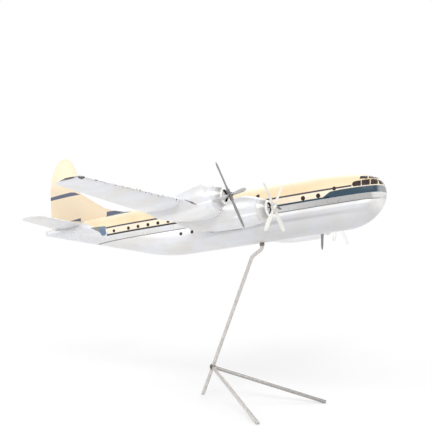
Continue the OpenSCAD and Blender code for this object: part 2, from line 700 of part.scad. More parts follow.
// Length of the straight between the bends, so that the second bend ends on the long slope
jog_dir = [-sin(jog_a), -cos(jog_a)];
gap = slope_start - first_end - second_turn;
function flat_cross(a, b) = a[0] * b[1] - a[1] * b[0];
jog_len = flat_cross(gap, slope_dir) / flat_cross(jog_dir, slope_dir);
second_start = first_end + jog_len * jog_dir;
stub_up = 16;
bend_steps = 5;
rod_sides = 16;
// The rod's path: [distance ahead, height, lean back from straight down]
rod_path = concat(
    [[0, stub_up, 0], [0, -stub_len, 0]],
    [for (i = [1 : bend_steps]) let (a = jog_a * i / bend_steps)
        [-mid_r * (1 - cos(a)), -stub_len - mid_r * sin(a), a]],
    [for (i = [0 : bend_steps]) let (a = jog_a + (slope_a - jog_a) * i / bend_steps)
        [second_start[0] + mid_r * (cos(jog_a) - cos(a)), second_start[1] + mid_r * (sin(a) - sin(jog_a)), a]],
    [[slope_end[0] + 2 * slope_dir[0], slope_end[1] + 2 * slope_dir[1], slope_a]]
);
module main_rod_solid() {
    loft([for (p = rod_path) [for (i = [0 : rod_sides - 1])
        let (t = 360 * i / rod_sides)
        [p[0] + rod_r * cos(t) * cos(p[2]), rod_r * sin(t), p[1] - rod_r * cos(t) * sin(p[2])]]]);
}
// The stand's own frame: the socket at the origin, turned below the model
module stand_frame() rotate([0, 0, stand_turn]) children();
knot = slope_end + slope_dir * (-(knot_h) / -slope_dir[1]);
floor_drop = 2.2;
function leg_end(side) = [front_foot, side * foot_half, -stand_h + floor_drop];
module leg_bar(side) {
    a = [knot[0], 0, knot[1]];
    v = leg_end(side) - a;
    translate(a) rotate([0, atan2(norm([v[0], v[1]]), v[2]), atan2(v[1], v[0])])
        translate([0, 0, rod_r / 2]) cylinder(r = rod_r, h = norm(v) - rod_r / 2);
}
module above_floor() {
    difference() {
        children();
        translate([0, 0, -stand_h - 20]) cube([800, 800, 40], center = true);
    }
}
module slope_bar(grow) {
    translate([slope_end[0], 0, slope_end[1]]) rotate([0, slope_a, 0])
        translate([0, 0, -5]) cylinder(r = rod_r + grow, h = slope_len);
}
module stand_main_rod() color(steel) stand_frame() above_floor() main_rod_solid();
module stand_leg(side) {
    color(steel) stand_frame() above_floor() difference() {
        leg_bar(side);
        slope_bar(0);
        if (side > 0) leg_bar(-1);
    }
}
module stand_leg_right() stand_leg(-1);
module stand_leg_left() stand_leg(1);
module stand_weld() {
    color(steel) stand_frame() difference() {
        translate([knot[0], 0, knot[1]]) sphere(r = weld_r);
        slope_bar(0);
        leg_bar(1);
        leg_bar(-1);
    }
}
// Socket: a boss on the inside of the belly that grips the rod's upright end
socket_r_out = 7;
hole_play = 0.04;
module stand_socket() {
    color(steel) difference() {
        intersection() {
            at_socket() translate([0, 0, -stub_len + 1]) cylinder(r = socket_r_out, h = stub_up + 4);
            lower_hollow(fit_gap, 2);
        }
        at_socket() cylinder(r = rod_r + hole_play, h = 60, center = true);
    }
}
// Collar: a nut that closes the hole in the belly
nut_drop = 6.2;
nut_len = 8;
module stand_collar() {
    color(steel) difference() {
        at_socket() translate([0, 0, -nut_drop]) cylinder(r = rod_r + 2, h = nut_len);
        lower_form(fit_gap, 1, socket_s - 60, socket_s + 60);
        at_socket() cylinder(r = rod_r + hole_play, h = 60, center = true);
    }
}

// Placing: the model turns about its socket, and the middle of the whole lies over the origin
function placed(p) =
    let (q = p - [-socket_s, 0, socket_h],
        r = [q[0], q[1] * cos(roll) + q[2] * sin(roll), -q[1] * sin(roll) + q[2] * cos(roll)])
    [r[0] * cos(nose_up) - r[2] * sin(nose_up), r[1], r[0] * sin(nose_up) + r[2] * cos(nose_up)];
nose_at = placed([0, 0, nose_h]);
tail_at = placed([-body_len, 0, tail_top_h]);
tip_left = placed([-wing_lead(half_span), half_span, wing_z(half_span)]);
tip_right = placed([-wing_lead(half_span), -half_span, wing_z(half_span)]);
centre = [(nose_at[0] + tail_at[0]) / 2, (tip_left[1] + tip_right[1]) / 2];
module on_stand() translate([-centre[0], -centre[1], stand_h]) children();
module model() {
    on_stand() rotate([0, -nose_up, 0]) rotate([-roll, 0, 0]) translate([socket_s, 0, -socket_h]) children();
}

model() fuselage_upper_shell();
model() fuselage_lower_shell();
model() cockpit_windows();
model() windows_right();
model() windows_left();
model() wing_right();
model() wing_left();
model() wing_spar();
model() tail_fin();
model() fin_pin();
model() tailplane_right();
model() tailplane_left();
model() tail_dowel();
model() stand_socket();
model() stand_collar();
on_stand() stand_main_rod();
on_stand() stand_leg_right();
on_stand() stand_leg_left();
on_stand() stand_weld();
model() nacelle(0);  // nacelle_1
model() nacelle(1);  // nacelle_2
model() nacelle(2);  // nacelle_3
model() nacelle(3);  // nacelle_4
model() cowling(0);  // cowling_1
model() cowling(1);  // cowling_2
model() cowling(2);  // cowling_3
model() cowling(3);  // cowling_4
model() engine(0);  // engine_1
model() engine(1);  // engine_2
model() engine(2);  // engine_3
model() engine(3);  // engine_4
model() propeller_pin(0);  // propeller_pin_1
model() propeller_pin(1);  // propeller_pin_2
model() propeller_pin(2);  // propeller_pin_3
model() propeller_pin(3);  // propeller_pin_4
model() propeller_hub(0);  // propeller_hub_1
model() propeller_hub(1);  // propeller_hub_2
model() propeller_hub(2);  // propeller_hub_3
model() propeller_hub(3);  // propeller_hub_4
model() propeller_blades(0);  // propeller_blades_1
model() propeller_blades(1);  // propeller_blades_2
model() propeller_blades(2);  // propeller_blades_3
model() propeller_blades(3);  // propeller_blades_4
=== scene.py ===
"""A desk model airliner on a rod stand: smooth skins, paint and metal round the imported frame.

Forms are worked out in millimetres in the aircraft's own frame, as in the CAD source: X forward
from the nose tip, Y towards the left wing, Z up from the crease between the two lobes. Stations
run aft.
"""

import math
from functools import reduce

import bmesh
import bpy
from mathutils import Matrix, Vector, noise


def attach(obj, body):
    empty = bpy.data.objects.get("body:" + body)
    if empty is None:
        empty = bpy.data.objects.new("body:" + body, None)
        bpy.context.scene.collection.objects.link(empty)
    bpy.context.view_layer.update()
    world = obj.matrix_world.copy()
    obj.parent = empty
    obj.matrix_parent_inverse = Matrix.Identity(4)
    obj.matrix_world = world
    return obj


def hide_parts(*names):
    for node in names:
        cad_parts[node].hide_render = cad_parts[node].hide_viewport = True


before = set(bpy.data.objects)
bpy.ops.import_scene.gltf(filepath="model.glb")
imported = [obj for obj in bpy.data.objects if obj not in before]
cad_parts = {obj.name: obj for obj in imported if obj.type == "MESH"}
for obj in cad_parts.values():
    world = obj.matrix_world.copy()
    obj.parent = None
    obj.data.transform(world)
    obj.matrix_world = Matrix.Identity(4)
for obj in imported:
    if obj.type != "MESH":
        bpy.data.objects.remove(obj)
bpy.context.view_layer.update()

MM = 0.001

# ---- sizes in mm and degrees
# Names that end in S are stations, in H heights, in U distances behind a propeller's hub
BODY_LEN, TOP_H, BELLY_D, LOBE_D = 653.7, 52.5, 39.6, 14.5
NOSE_H, NOSE_TOP_LEN, NOSE_SIDE_LEN, NOSE_BELLY_LEN, NOSE_CREASE_LEN = 5.4, 125, 38, 67, 12
TAIL_LOW_H, TAIL_TOP_H, TAIL_ANGLE, TOP_FALL_S, TOP_FALL_POWER = 32.1, 41.3, 15.56, 432, 1.3
TOP_POWER, SIDE_POWER, BELLY_POWER = 0.285, 0.34, 0.61
BELLY_BLEND, LOBE_BLEND = 40, 52
# Windows: their rows, and the width of each kind of pane
WINDOW_H, LOW_WINDOW_D, LOW_PITCH = 15.6, 8.2, 21.5
FRONT_WINDOW_S, FRONT_PITCH, FRONT_WINDOWS = 98.3, 26, 2
REAR_WINDOW_S, REAR_PITCH, REAR_WINDOWS = 374, 20.1, 5
LAST_WINDOW_S, LOW_WINDOW_S, LOW_WINDOWS = 486, 331.6, 2
NOSE_WINDOW, WING_WINDOW = (71, 23), (203.6, 31.7)
NOSE_GLASS, FRONT_GLASS, WING_GLASS = 6.4, 7.2, 6.4
REAR_GLASS, LAST_GLASS, LOW_GLASS = 5.8, 5.4, 5.6
# Wings
HALF_SPAN, ROOT_CHORD, TIP_CHORD, WING_S, WING_SWEEP = 414, 107, 47, 217.7, 8.3
DIHEDRAL, INCIDENCE, ROOT_THICK, TIP_THICK, ROOT_FILLET, TIP_ROUND = 3.4, 3, 0.21, 0.1, 12, 9
FILLET_SPAN, WING_TIP_BACK, WING_TIP_CHORD, WING_TIP_POWER = 24, 0.45, 0.1, 1.8
# Fin and tailplanes
FIN_H, FIN_REAR_S, FIN_CHORD, FIN_TOP_BACK, FIN_THICK, FIN_TOP_CUT = 168, 641, 66, 35.6, 9.5, 0.1
FRONT_BEND_H, REAR_BEND_H, REAR_BEND_POWER = 100, 90, 2.4
DORSAL_SLOPE, DORSAL_CURVE, DORSAL_CURVE_H, DORSAL_S = 1.453, 0.088, 68, 462
TAIL_HALF_SPAN, TAIL_ROOT_CHORD, TAIL_TIP_CHORD, TAIL_REAR_S = 120, 62, 45, 628
TAILPLANE_H, TAIL_DIHEDRAL, TAIL_TIP_ROUND, TAIL_REAR_SWEEP = 40, 3.5, 24, 3.5
TAIL_TIP_BACK, TAIL_THICK, TAIL_TIP_POWER = 0.48, 0.12, 1.1
# Engines, cowlings and nacelles, from the outer left to the outer right
ENGINE_Y = (201, 92.3, -92.3, -201)
ENGINE_S = (164.7, 147.7, 147.7, 164.7)
ENGINE_H = (6.5, -2, -2, 6.5)
COWL_GAP, COWL_LEN, COWL_MOUTH_R, COWL_LIP_R, COWL_REAR_R, COWL_WALL = 7.5, 14, 9, 10.9, 18.0, 1.4
COWL_BELL, COWL_INNER_BELL = 0.6, 0.7
NACELLE_R, BARREL_LEN, SWELL_LEN = (24, 25.4, 25.4, 24), (10, 0, 0, 10), (12, 30, 30, 12)
FALL_U, FALL_POWER, NACELLE_LEAN = (45, 56, 56, 45), (1.4, 1.25, 1.25, 1.4), (0, 0, 0, 9)
NACELLE_KEEL, NACELLE_W, CHIN_R, KEEL_U, TAIL_T = 24, 18.4, 19, 62, 1.5
BARREL_LOW, BARREL_LOW_SHARE, CHIN_TOP, CHIN_SHARE = -16.5, 0.08, 2, 0.95
PLAN_TAPER_U, PLAN_TAPER, PLAN_POWERS = 36, 0.88, (1.5, 3.2)
TAIL_INSET, KEEL_INSET, NACELLE_POINTS = 4, 4, 96
FACE_BACK, FACE_R = 3.0, 7.9
# Propellers
PROP_R, BLADE_CHORDS, BLADE_ROOT_T, SOCKET_OUT = 51.8, (7.2, 7.2, 6.4, 6.2), 3, 8.5
BLADE_PITCH, BLADE_TWIST = (30, 4, 58, 2), 12
PIN_UP, PIN_RIGHT = (2, -3, -5.7, 11.3), (-2, 2, -2.9, 5.9)
PROP_TURN = (45, 8, 39.7, 72.3)
# Stand, and how the model sits on it
ROD_R, STAND_H, REAR_FOOT, FRONT_FOOT, FOOT_HALF, STAND_TURN = 3, 273.3, 130.3, 65.6, 89.7, -13.6
KNOT_H, BEND_BACK, BEND_DROP, STUB_LEN, BEND_R, JOG = 51.6, 24.5, 34, 7, 6, 56
NOSE_UP, ROLL, SOCKET_S, SOCKET_H = 10.5, 10, 218.5, -38

ROOT_Y = math.sqrt(LOBE_D * TOP_H)
COWL_REAR_U = COWL_GAP + COWL_LEN


def sind(a):
    return math.sin(math.radians(a))


def cosd(a):
    return math.cos(math.radians(a))


def tand(a):
    return math.tan(math.radians(a))


def clamp01(t):
    return max(0.0, min(1.0, t))


def spread(first, last, count, start=1, power=1):
    """Steps from first to last, without the first unless start is 0. Crowded there by a power."""
    return [first + (last - first) * (i / count) ** power for i in range(start, count + 1)]


def crowd(first, last, count):
    """Steps after first that crowd towards last."""
    return [first + (last - first) * sind(90 * i / count) for i in range(1, count + 1)]


TAIL_SLOPE = tand(TAIL_ANGLE)


# ---- placing
def turn(axis, degrees):
    return Matrix.Rotation(math.radians(degrees), 4, axis)


SOCKET = Vector((-SOCKET_S, 0, SOCKET_H))
ATTITUDE = turn("Y", -NOSE_UP) @ turn("X", -ROLL)


def wing_lead(y):
    return WING_S + y * tand(WING_SWEEP)


def wing_z(y):
    return y * tand(DIHEDRAL)


def placed(x, y, z):
    return ATTITUDE @ (Vector((x, y, z)) - SOCKET)


nose_at, tail_at = placed(0, 0, NOSE_H), placed(-BODY_LEN, 0, TAIL_TOP_H)
tip_left = placed(-wing_lead(HALF_SPAN), HALF_SPAN, wing_z(HALF_SPAN))
tip_right = placed(-wing_lead(HALF_SPAN), -HALF_SPAN, wing_z(HALF_SPAN))
CENTRE = ((nose_at.x + tail_at.x) / 2, (tip_left.y + tip_right.y) / 2)
ON_STAND = Matrix.Translation(Vector((-CENTRE[0], -CENTRE[1], STAND_H)) * MM)
AIRCRAFT = ON_STAND @ ATTITUDE @ Matrix.Translation(-SOCKET * MM)
STAND = ON_STAND @ turn("Z", STAND_TURN)
AT_SOCKET = AIRCRAFT @ Matrix.Translation(SOCKET * MM) @ turn("X", ROLL) @ turn("Y", NOSE_UP)


def at_engine(n):
    return AIRCRAFT @ Matrix.Translation(Vector((-ENGINE_S[n], ENGINE_Y[n], ENGINE_H[n])) * MM)


def at_pin(n):
    return at_engine(n) @ turn("Z", -PIN_RIGHT[n]) @ turn("Y", -PIN_UP[n]) @ turn("Y", 90)


# ---- mesh helpers
SAME_POINT = 1e-7  # metres


def loop_faces(a, b, n):
    """Faces between two closed rings of n points that start at a and b."""
    return [(a + i, a + (i + 1) % n, b + (i + 1) % n, b + i) for i in range(n)]


def in_scene(name, data):
    thing = bpy.data.objects.new(name, data)
    bpy.context.scene.collection.objects.link(thing)
    return thing


def add_piece(
    name, points, faces, material, slot, nodes=(),
    body="root", matrix=AIRCRAFT, sharp=32, floor_cut=False,
):
    """A smooth-shaded mesh from points in millimetres, on a body, in place of the CAD nodes."""
    mesh = bpy.data.meshes.new(name)
    mesh.from_pydata([matrix @ (Vector(p) * MM) for p in points], [], faces)
    bm = bmesh.new()
    bm.from_mesh(mesh)
    bmesh.ops.remove_doubles(bm, verts=bm.verts, dist=SAME_POINT)
    if floor_cut:
        everything = bm.verts[:] + bm.edges[:] + bm.faces[:]
        cut = bmesh.ops.bisect_plane(
            bm, geom=everything, plane_co=(0, 0, 0), plane_no=(0, 0, -1), clear_outer=True,
        )
        rim = [e for e in cut["geom_cut"] if isinstance(e, bmesh.types.BMEdge)]
        if rim:
            bmesh.ops.contextual_create(bm, geom=rim)
    bmesh.ops.recalc_face_normals(bm, faces=bm.faces)
    bm.to_mesh(mesh)
    bm.free()
    mesh.shade_smooth()
    mesh.set_sharp_from_angle(angle=math.radians(sharp))
    piece = in_scene(name, mesh)
    mesh.materials.append(material)
    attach(piece, body)
    if nodes:
        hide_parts(*nodes)
    return piece


def skin(rings):
    """Points and faces over rings with the same number of points, closed at both ends."""
    n = len(rings[0])
    points = [p for ring in rings for p in ring]
    faces = []
    for j in range(len(rings) - 1):
        faces += loop_faces(j * n, (j + 1) * n, n)
    faces.append(tuple(range(n)))
    faces.append(tuple(range((len(rings) - 1) * n, len(rings) * n)))
    return points, faces


def join(parts):
    """Several (points, faces) lists as one."""
    points, faces = [], []
    for more_points, more_faces in parts:
        base = len(points)
        points += list(more_points)
        faces += [tuple(base + i for i in f) for f in more_faces]
    return points, faces


def lathe(profile, steps=64):
    """A closed profile of (distance along X, radius), turned about the X axis."""
    points, faces, n = [], [], len(profile)
    for k in range(steps):
        a = 360 * k / steps
        points += [(u, r * cosd(a), r * sind(a)) for u, r in profile]
        faces += loop_faces(k * n, (k + 1) % steps * n, n)
    return points, faces


# ---- fuselage lines
def round_out(s, length, power):
    return (1 - (1 - clamp01(s / length)) ** 2) ** power


def kink_s(base):
    return BODY_LEN - (TAIL_LOW_H - base) / TAIL_SLOPE


def rise(s, base, blend):
    d = s - kink_s(base)
    if d < -blend:
        return base
    return base + TAIL_SLOPE * (d if d > blend else (d + blend) ** 2 / (4 * blend))


def top_z(s):
    fallen = clamp01((s - TOP_FALL_S) / (BODY_LEN - TOP_FALL_S)) ** TOP_FALL_POWER
    fall = (TOP_H - TAIL_TOP_H) * fallen
    return NOSE_H + (TOP_H - NOSE_H) * round_out(s, NOSE_TOP_LEN, TOP_POWER) - fall


def belly_z(s):
    drop = rise(s, -BELLY_D, BELLY_BLEND) - NOSE_H
    return NOSE_H + drop * round_out(s, NOSE_BELLY_LEN, BELLY_POWER)


def crease_half(s):
    full = math.sqrt(max(0, -rise(s, -LOBE_D, LOBE_BLEND)) * top_z(s))
    return full * round_out(s, NOSE_SIDE_LEN, SIDE_POWER)


CREASE_END_S = kink_s(-LOBE_D) + LOBE_D / TAIL_SLOPE


def crease_z(s):
    return belly_z(s) if s > CREASE_END_S else NOSE_H * (1 - clamp01(s / NOSE_CREASE_LEN)) ** 2


LEAST_HALF, LEAST_SINE = 0.05, -0.9995


def upper_circle(s):
    h = top_z(s) - crease_z(s)
    r = (max(crease_half(s), LEAST_HALF) ** 2 + h * h) / (2 * h)
    return top_z(s) - r, r


def lower_circle(s):
    h = crease_z(s) - belly_z(s)
    r = (crease_half(s) ** 2 + h * h) / (2 * h)
    return belly_z(s) + r, r


def ring_of(s, circle, upper, n):
    """Points round one lobe at a station, from crease to crease."""
    zc, r = circle(s)
    a = math.asin(max(LEAST_SINE, min(1, (crease_z(s) - zc) / r)))
    start, end = (a, math.pi - a) if upper else (-math.pi - a, a)
    return [(-s, r * math.cos(t), zc + r * math.sin(t)) for t in spread(start, end, n, 0)]


NOSE_RINGS, NOSE_CROWDING, RING_PITCH = 46, 2.6, 6.5
UPPER_STEPS, LOWER_STEPS = 88, 72
RAY_STEPS, RAY_PAST, RAY_HALVINGS, NOSE_TIP_X, NORMAL_STEP = 120, 20, 26, -0.02, 0.05


def stations(end):
    """Crowded at the nose, then even."""
    nose = spread(0, NOSE_TOP_LEN, NOSE_RINGS, power=NOSE_CROWDING)
    return nose + spread(NOSE_TOP_LEN, end, round((end - NOSE_TOP_LEN) / RING_PITCH))


def outside(p, circle):
    """Distance of a point outside a lobe, measured at its own station."""
    zc, r = circle(max(-NOSE_TIP_X, -p[0]))
    return math.hypot(p[1], p[2] - zc) - r


def inside(p, circle):
    return p.x < NOSE_TIP_X and outside(p, circle) < 0


def lobe_normal(p, circle):
    steps = [Vector(axis) * NORMAL_STEP for axis in ((1, 0, 0), (0, 1, 0), (0, 0, 1))]
    slope = [outside(p + step, circle) - outside(p - step, circle) for step in steps]
    return Vector(slope).normalized()


def on_lobe(origin, direction, circle, reach):
    """Where a ray from far out along direction, on its way back, first meets a lobe, or None."""
    last = origin + direction * reach
    for i in range(1, RAY_STEPS + 1):
        here = origin + direction * (reach - (reach + RAY_PAST) * i / RAY_STEPS)
        if inside(here, circle):
            low, high = here, last
            for _ in range(RAY_HALVINGS):
                middle = (low + high) / 2
                if inside(middle, circle):
                    low = middle
                else:
                    high = middle
            return low
        last = here
    return None


# ---- aerofoil sections
def foil_t(x):
    """Half thickness of a four-digit symmetric section of unit thickness."""
    return 1.4845 * math.sqrt(x) - 0.63 * x - 1.758 * x * x + 1.4215 * x ** 3 - 0.5075 * x ** 4


FOIL_STEPS = 34
FOIL_X = [(1 - math.cos(math.pi * i / FOIL_STEPS)) / 2 for i in range(FOIL_STEPS + 1)]
EDGE_T, EDGE_FADE, EDGE_KEPT, NOSE_OUT, LEAST_TIP = 0.2, 4, 0.55, 0.18, 0.02


def foil(chord, thick):
    """Section points from the tail over the top to the nose, and back below."""
    half = []
    for x in FOIL_X:
        edge = EDGE_T * min(1, EDGE_FADE * (1 - x) + EDGE_KEPT)
        half.append((x * chord, thick * chord * foil_t(x) + edge))
    return list(reversed(half)) + [(-NOSE_OUT, 0)] + [(x, -t) for x, t in half]


def tip_keep(t):
    """Share of the full size that a rounded tip keeps, with t from 0 to 1 across the rounding."""
    return math.sqrt(max(LEAST_TIP, 1 - t * t))


def plain_chord(y):
    return ROOT_CHORD + (TIP_CHORD - ROOT_CHORD) * y / HALF_SPAN


def wing_ring(y, side):
    keep = tip_keep(clamp01((y - HALF_SPAN + TIP_ROUND) / TIP_ROUND))
    fillet = ROOT_FILLET * clamp01((ROOT_Y + FILLET_SPAN - y) / FILLET_SPAN) ** 2
    shrink = WING_TIP_CHORD + (1 - WING_TIP_CHORD) * keep ** WING_TIP_POWER
    chord = plain_chord(y) * shrink + fillet
    front = wing_lead(y) + plain_chord(y) * WING_TIP_BACK * (1 - keep)
    thick = (ROOT_THICK + (TIP_THICK - ROOT_THICK) * y / HALF_SPAN) * keep
    return [
        (-(front + x), side * y, wing_z(y) + t - x * sind(INCIDENCE)) for x, t in foil(chord, thick)
    ]


def tail_ring(y, side):
    keep = tip_keep(clamp01((y - TAIL_HALF_SPAN + TAIL_TIP_ROUND) / TAIL_TIP_ROUND))
    plain = TAIL_ROOT_CHORD + (TAIL_TIP_CHORD - TAIL_ROOT_CHORD) * y / TAIL_HALF_SPAN
    front = TAIL_REAR_S - plain - TAIL_REAR_SWEEP * y / TAIL_HALF_SPAN
    front += plain * TAIL_TIP_BACK * (1 - keep)
    lift = TAILPLANE_H + y * tand(TAIL_DIHEDRAL)
    section = foil(plain * keep ** TAIL_TIP_POWER, TAIL_THICK * keep)
    return [(-(front + x), side * y, lift + t) for x, t in section]


FIN_SUNK, FIN_THICK_MORE = 3, 0.1
FIN_BASE_Z = TAIL_TOP_H - FIN_SUNK
FIN_TOP_S = FIN_REAR_S - FIN_TOP_BACK
FIN_FRONT_S = FIN_REAR_S - FIN_CHORD


def fin_share(z, start):
    return clamp01((z - start) / (FIN_H - start))


def fin_front_rear(z):
    back = math.sqrt(1 - fin_share(z, REAR_BEND_H) ** REAR_BEND_POWER)
    rear = FIN_TOP_S + (FIN_REAR_S - FIN_TOP_S) * back
    if z > FRONT_BEND_H:
        ahead = math.sqrt(1 - fin_share(z, FRONT_BEND_H) ** 2)
        return FIN_TOP_S - (FIN_TOP_S - FIN_FRONT_S) * ahead, rear
    curve = DORSAL_CURVE * max(0, DORSAL_CURVE_H - z) ** 2
    return max(DORSAL_S, FIN_FRONT_S - DORSAL_SLOPE * (FRONT_BEND_H - z) - curve), rear


def fin_ring(z):
    front, rear = fin_front_rear(z)
    chord = rear - front
    thick = FIN_THICK * min(1, chord / FIN_CHORD + FIN_THICK_MORE) / chord
    return [(-(front + x), half, z) for x, half in foil(chord, thick)]


# ---- nacelle lines
def tail_u(n):
    y = abs(ENGINE_Y[n])
    return wing_lead(y) + plain_chord(y) - ENGINE_S[n] - TAIL_INSET


def ray_to_ellipse(from_z, a, top, low, half):
    """Distance from a point inside an ellipse's upright axis to its rim, at angle a."""
    middle, tall = (top + low) / 2, (top - low) / 2
    c, s, d = math.cos(a) / half, math.sin(a) / tall, (from_z - middle) / tall
    return (-s * d + math.sqrt(s * s * d * d + (c * c + s * s) * (1 - d * d))) / (c * c + s * s)


def nacelle_ring(u, n, groove=0.0):
    """An upper barrel and a narrower chin below it, which meet in a crease along each side."""
    y = abs(ENGINE_Y[n])
    rear_z = wing_z(y) - plain_chord(y) * sind(INCIDENCE)
    swell = sind(90 * clamp01((u - COWL_REAR_U - BARREL_LEN[n]) / SWELL_LEN[n]))

    def aft(start):
        return clamp01((u - start) / (tail_u(n) - start))

    top = COWL_REAR_R + (NACELLE_R[n] - COWL_REAR_R) * swell
    top -= (NACELLE_R[n] + ENGINE_H[n] - rear_z + TAIL_T) * aft(FALL_U[n]) ** FALL_POWER[n]
    low = -CHIN_R - (NACELLE_KEEL - CHIN_R) * swell
    keel_rise = (NACELLE_KEEL - ENGINE_H[n] + rear_z - KEEL_INSET) * aft(KEEL_U) ** 3
    low = min(low + keel_rise, top - TAIL_T)
    taper = 1 - (1 - aft(PLAN_TAPER_U) ** PLAN_POWERS[0]) ** PLAN_POWERS[1]
    half = (COWL_REAR_R + (NACELLE_W - COWL_REAR_R) * swell) * (1 - PLAN_TAPER * taper)
    top, low, half = top - groove, low + groove, half - groove
    barrel_low = max(low + BARREL_LOW_SHARE * (top - low), BARREL_LOW)
    chin_top = min(CHIN_TOP, (top + barrel_low) / 2)
    core = (chin_top + barrel_low) / 2
    centre = ENGINE_Y[n] + (u - COWL_REAR_U) * tand(NACELLE_LEAN[n])
    ring = []
    for i in range(NACELLE_POINTS):
        a = 2 * math.pi * i / NACELLE_POINTS
        barrel = ray_to_ellipse(core, a, top, barrel_low, half)
        chin = ray_to_ellipse(core, a, chin_top, low, CHIN_SHARE * half)
        r = max(barrel, chin)
        up = ENGINE_H[n] + core + r * math.sin(a)
        ring.append((-ENGINE_S[n] - u, centre + r * math.cos(a), up))
    return ring


# ---- materials
TO_AIRCRAFT = AIRCRAFT.inverted()
COAT_ROUGHNESS, EDGE_SOFT, OUTLINE_SOFT = 0.12, 0.3, 0.25
# Sockets of a Mix node that mixes colours
MIX_FACTOR, MIX_UNDER, MIX_OVER, MIX_RESULT = 0, 6, 7, 2


def ink(red, green, blue):
    """A colour given in display values of 0 to 255."""
    def linear(v):
        v /= 255
        return v / 12.92 if v <= 0.04045 else ((v + 0.055) / 1.055) ** 2.4
    return (linear(red), linear(green), linear(blue), 1)


def empty_tree(owner):
    owner.use_nodes = True
    owner.node_tree.nodes.clear()
    return owner.node_tree


def put(tree, socket, value):
    """Links another node's output to an input, or sets its value."""
    if hasattr(value, "is_linked"):
        tree.links.new(value, socket)
    else:
        socket.default_value = value


def add_node(tree, kind, inputs=None, **settings):
    """A shader node with its settings, and its inputs by name or number."""
    node = tree.nodes.new("ShaderNode" + kind)
    for name, value in settings.items():
        setattr(node, name, value)
    for key, value in (inputs or {}).items():
        put(tree, node.inputs[key], value)
    return node


def add_ramp(tree, value, low, high, start=0.0, end=1.0, kind="SMOOTHSTEP"):
    """A step from start to end while value goes from low to high."""
    names = ("Value", "From Min", "From Max", "To Min", "To Max")
    inputs = dict(zip(names, (value, low, high, start, end)))
    return add_node(tree, "MapRange", inputs, interpolation_type=kind).outputs["Result"]


class Finish:
    """A material made by short calls. Its station, side and height are in millimetres."""

    def __init__(self, name, metallic=0.0, coat=0.0, specular=0.5):
        self.material = bpy.data.materials.new(name)
        self.tree = empty_tree(self.material)
        self.shader = self.node("BsdfPrincipled", {
            "Metallic": metallic, "Coat Weight": coat, "Coat Roughness": COAT_ROUGHNESS,
            "Specular IOR Level": specular,
        })
        self.node("OutputMaterial", {"Surface": self.shader.outputs["BSDF"]})
        self.place = self.node("Mapping", {
            "Vector": self.node("TexCoord").outputs["Object"],
            "Location": TO_AIRCRAFT.to_translation(), "Rotation": TO_AIRCRAFT.to_euler("XYZ"),
        }).outputs["Vector"]
        split = self.node("SeparateXYZ", {0: self.place}).outputs
        self.station = self.math("MULTIPLY", split["X"], -1 / MM)
        self.side = self.math("MULTIPLY", split["Y"], 1 / MM)
        self.height = self.math("MULTIPLY", split["Z"], 1 / MM)

    def node(self, kind, inputs=None, **settings):
        return add_node(self.tree, kind, inputs, **settings)

    def math(self, operation, *values):
        return self.node("Math", dict(enumerate(values)), operation=operation).outputs[0]

    def ramp(self, *limits):
        return add_ramp(self.tree, *limits)

    def along(self, *limits):
        return self.ramp(self.station, *limits)

    def up(self, *limits):
        return self.ramp(self.height, *limits)

    def noise(self, scale, detail=3.0, roughness=0.5, stretch=None):
        place = self.place
        if stretch:
            place = self.node("Mapping", {"Vector": place, "Scale": stretch}).outputs["Vector"]
        inputs = {"Vector": place, "Scale": scale, "Detail": detail, "Roughness": roughness}
        return self.node("TexNoise", inputs).outputs["Fac"]

    def mix(self, factor, under, over, strength=None):
        """Colour over laid on colour under where the factor says, weakened by strength."""
        if strength is not None:
            factor = self.math("MULTIPLY", factor, strength)
        inputs = {MIX_FACTOR: factor, MIX_UNDER: under, MIX_OVER: over}
        return self.node("Mix", inputs, data_type="RGBA").outputs[MIX_RESULT]

    def most(self, *masks):
        return reduce(lambda a, b: self.math("MAXIMUM", a, b), masks)

    def least(self, *masks):
        return reduce(lambda a, b: self.math("MINIMUM", a, b), masks)

    def band(self, value, low, high, soft=EDGE_SOFT):
        rises = self.ramp(value, low - soft, low + soft)
        return self.least(rises, self.ramp(value, high - soft, high + soft, 1, 0))

    def shape(self, corners, soft=OUTLINE_SOFT):
        """A mask of a convex outline seen from the side, as (station, height) corners."""
        count = len(corners)
        middle = (sum(c[0] for c in corners) / count, sum(c[1] for c in corners) / count)
        edges = []
        for (s0, z0), (s1, z1) in zip(corners, corners[1:] + corners[:1]):
            length = math.hypot(s1 - s0, z1 - z0)
            a, b = (z1 - z0) / length, -(s1 - s0) / length
            c = a * s0 + b * z0
            if a * middle[0] + b * middle[1] < c:
                a, b, c = -a, -b, -c
            above = self.math("MULTIPLY_ADD", self.height, b, -c)
            within = self.math("MULTIPLY_ADD", self.station, a, above)
            edges.append(self.ramp(within, -soft, soft))
        return self.least(*edges)

    def look(self, name, value):
        put(self.tree, self.shader.inputs[name], value)

    def colour(self, value):
        self.look("Base Color", value)

    def surface(
        self, scale=120, roughness=(0.3, 0.42), bump_scale=420, bump_depth=0.00006,
        detail=3.0, stretch=None,
    ):
        """Uneven roughness between two values, and a fine bump. Gives the material back."""
        self.look("Roughness", self.ramp(self.noise(scale, detail), 0.3, 0.7, *roughness))
        if bump_scale:
            height = self.noise(bump_scale, stretch=stretch)
            bump = self.node("Bump", {"Distance": bump_depth, "Height": height})
            self.look("Normal", bump.outputs["Normal"])
        return self.material


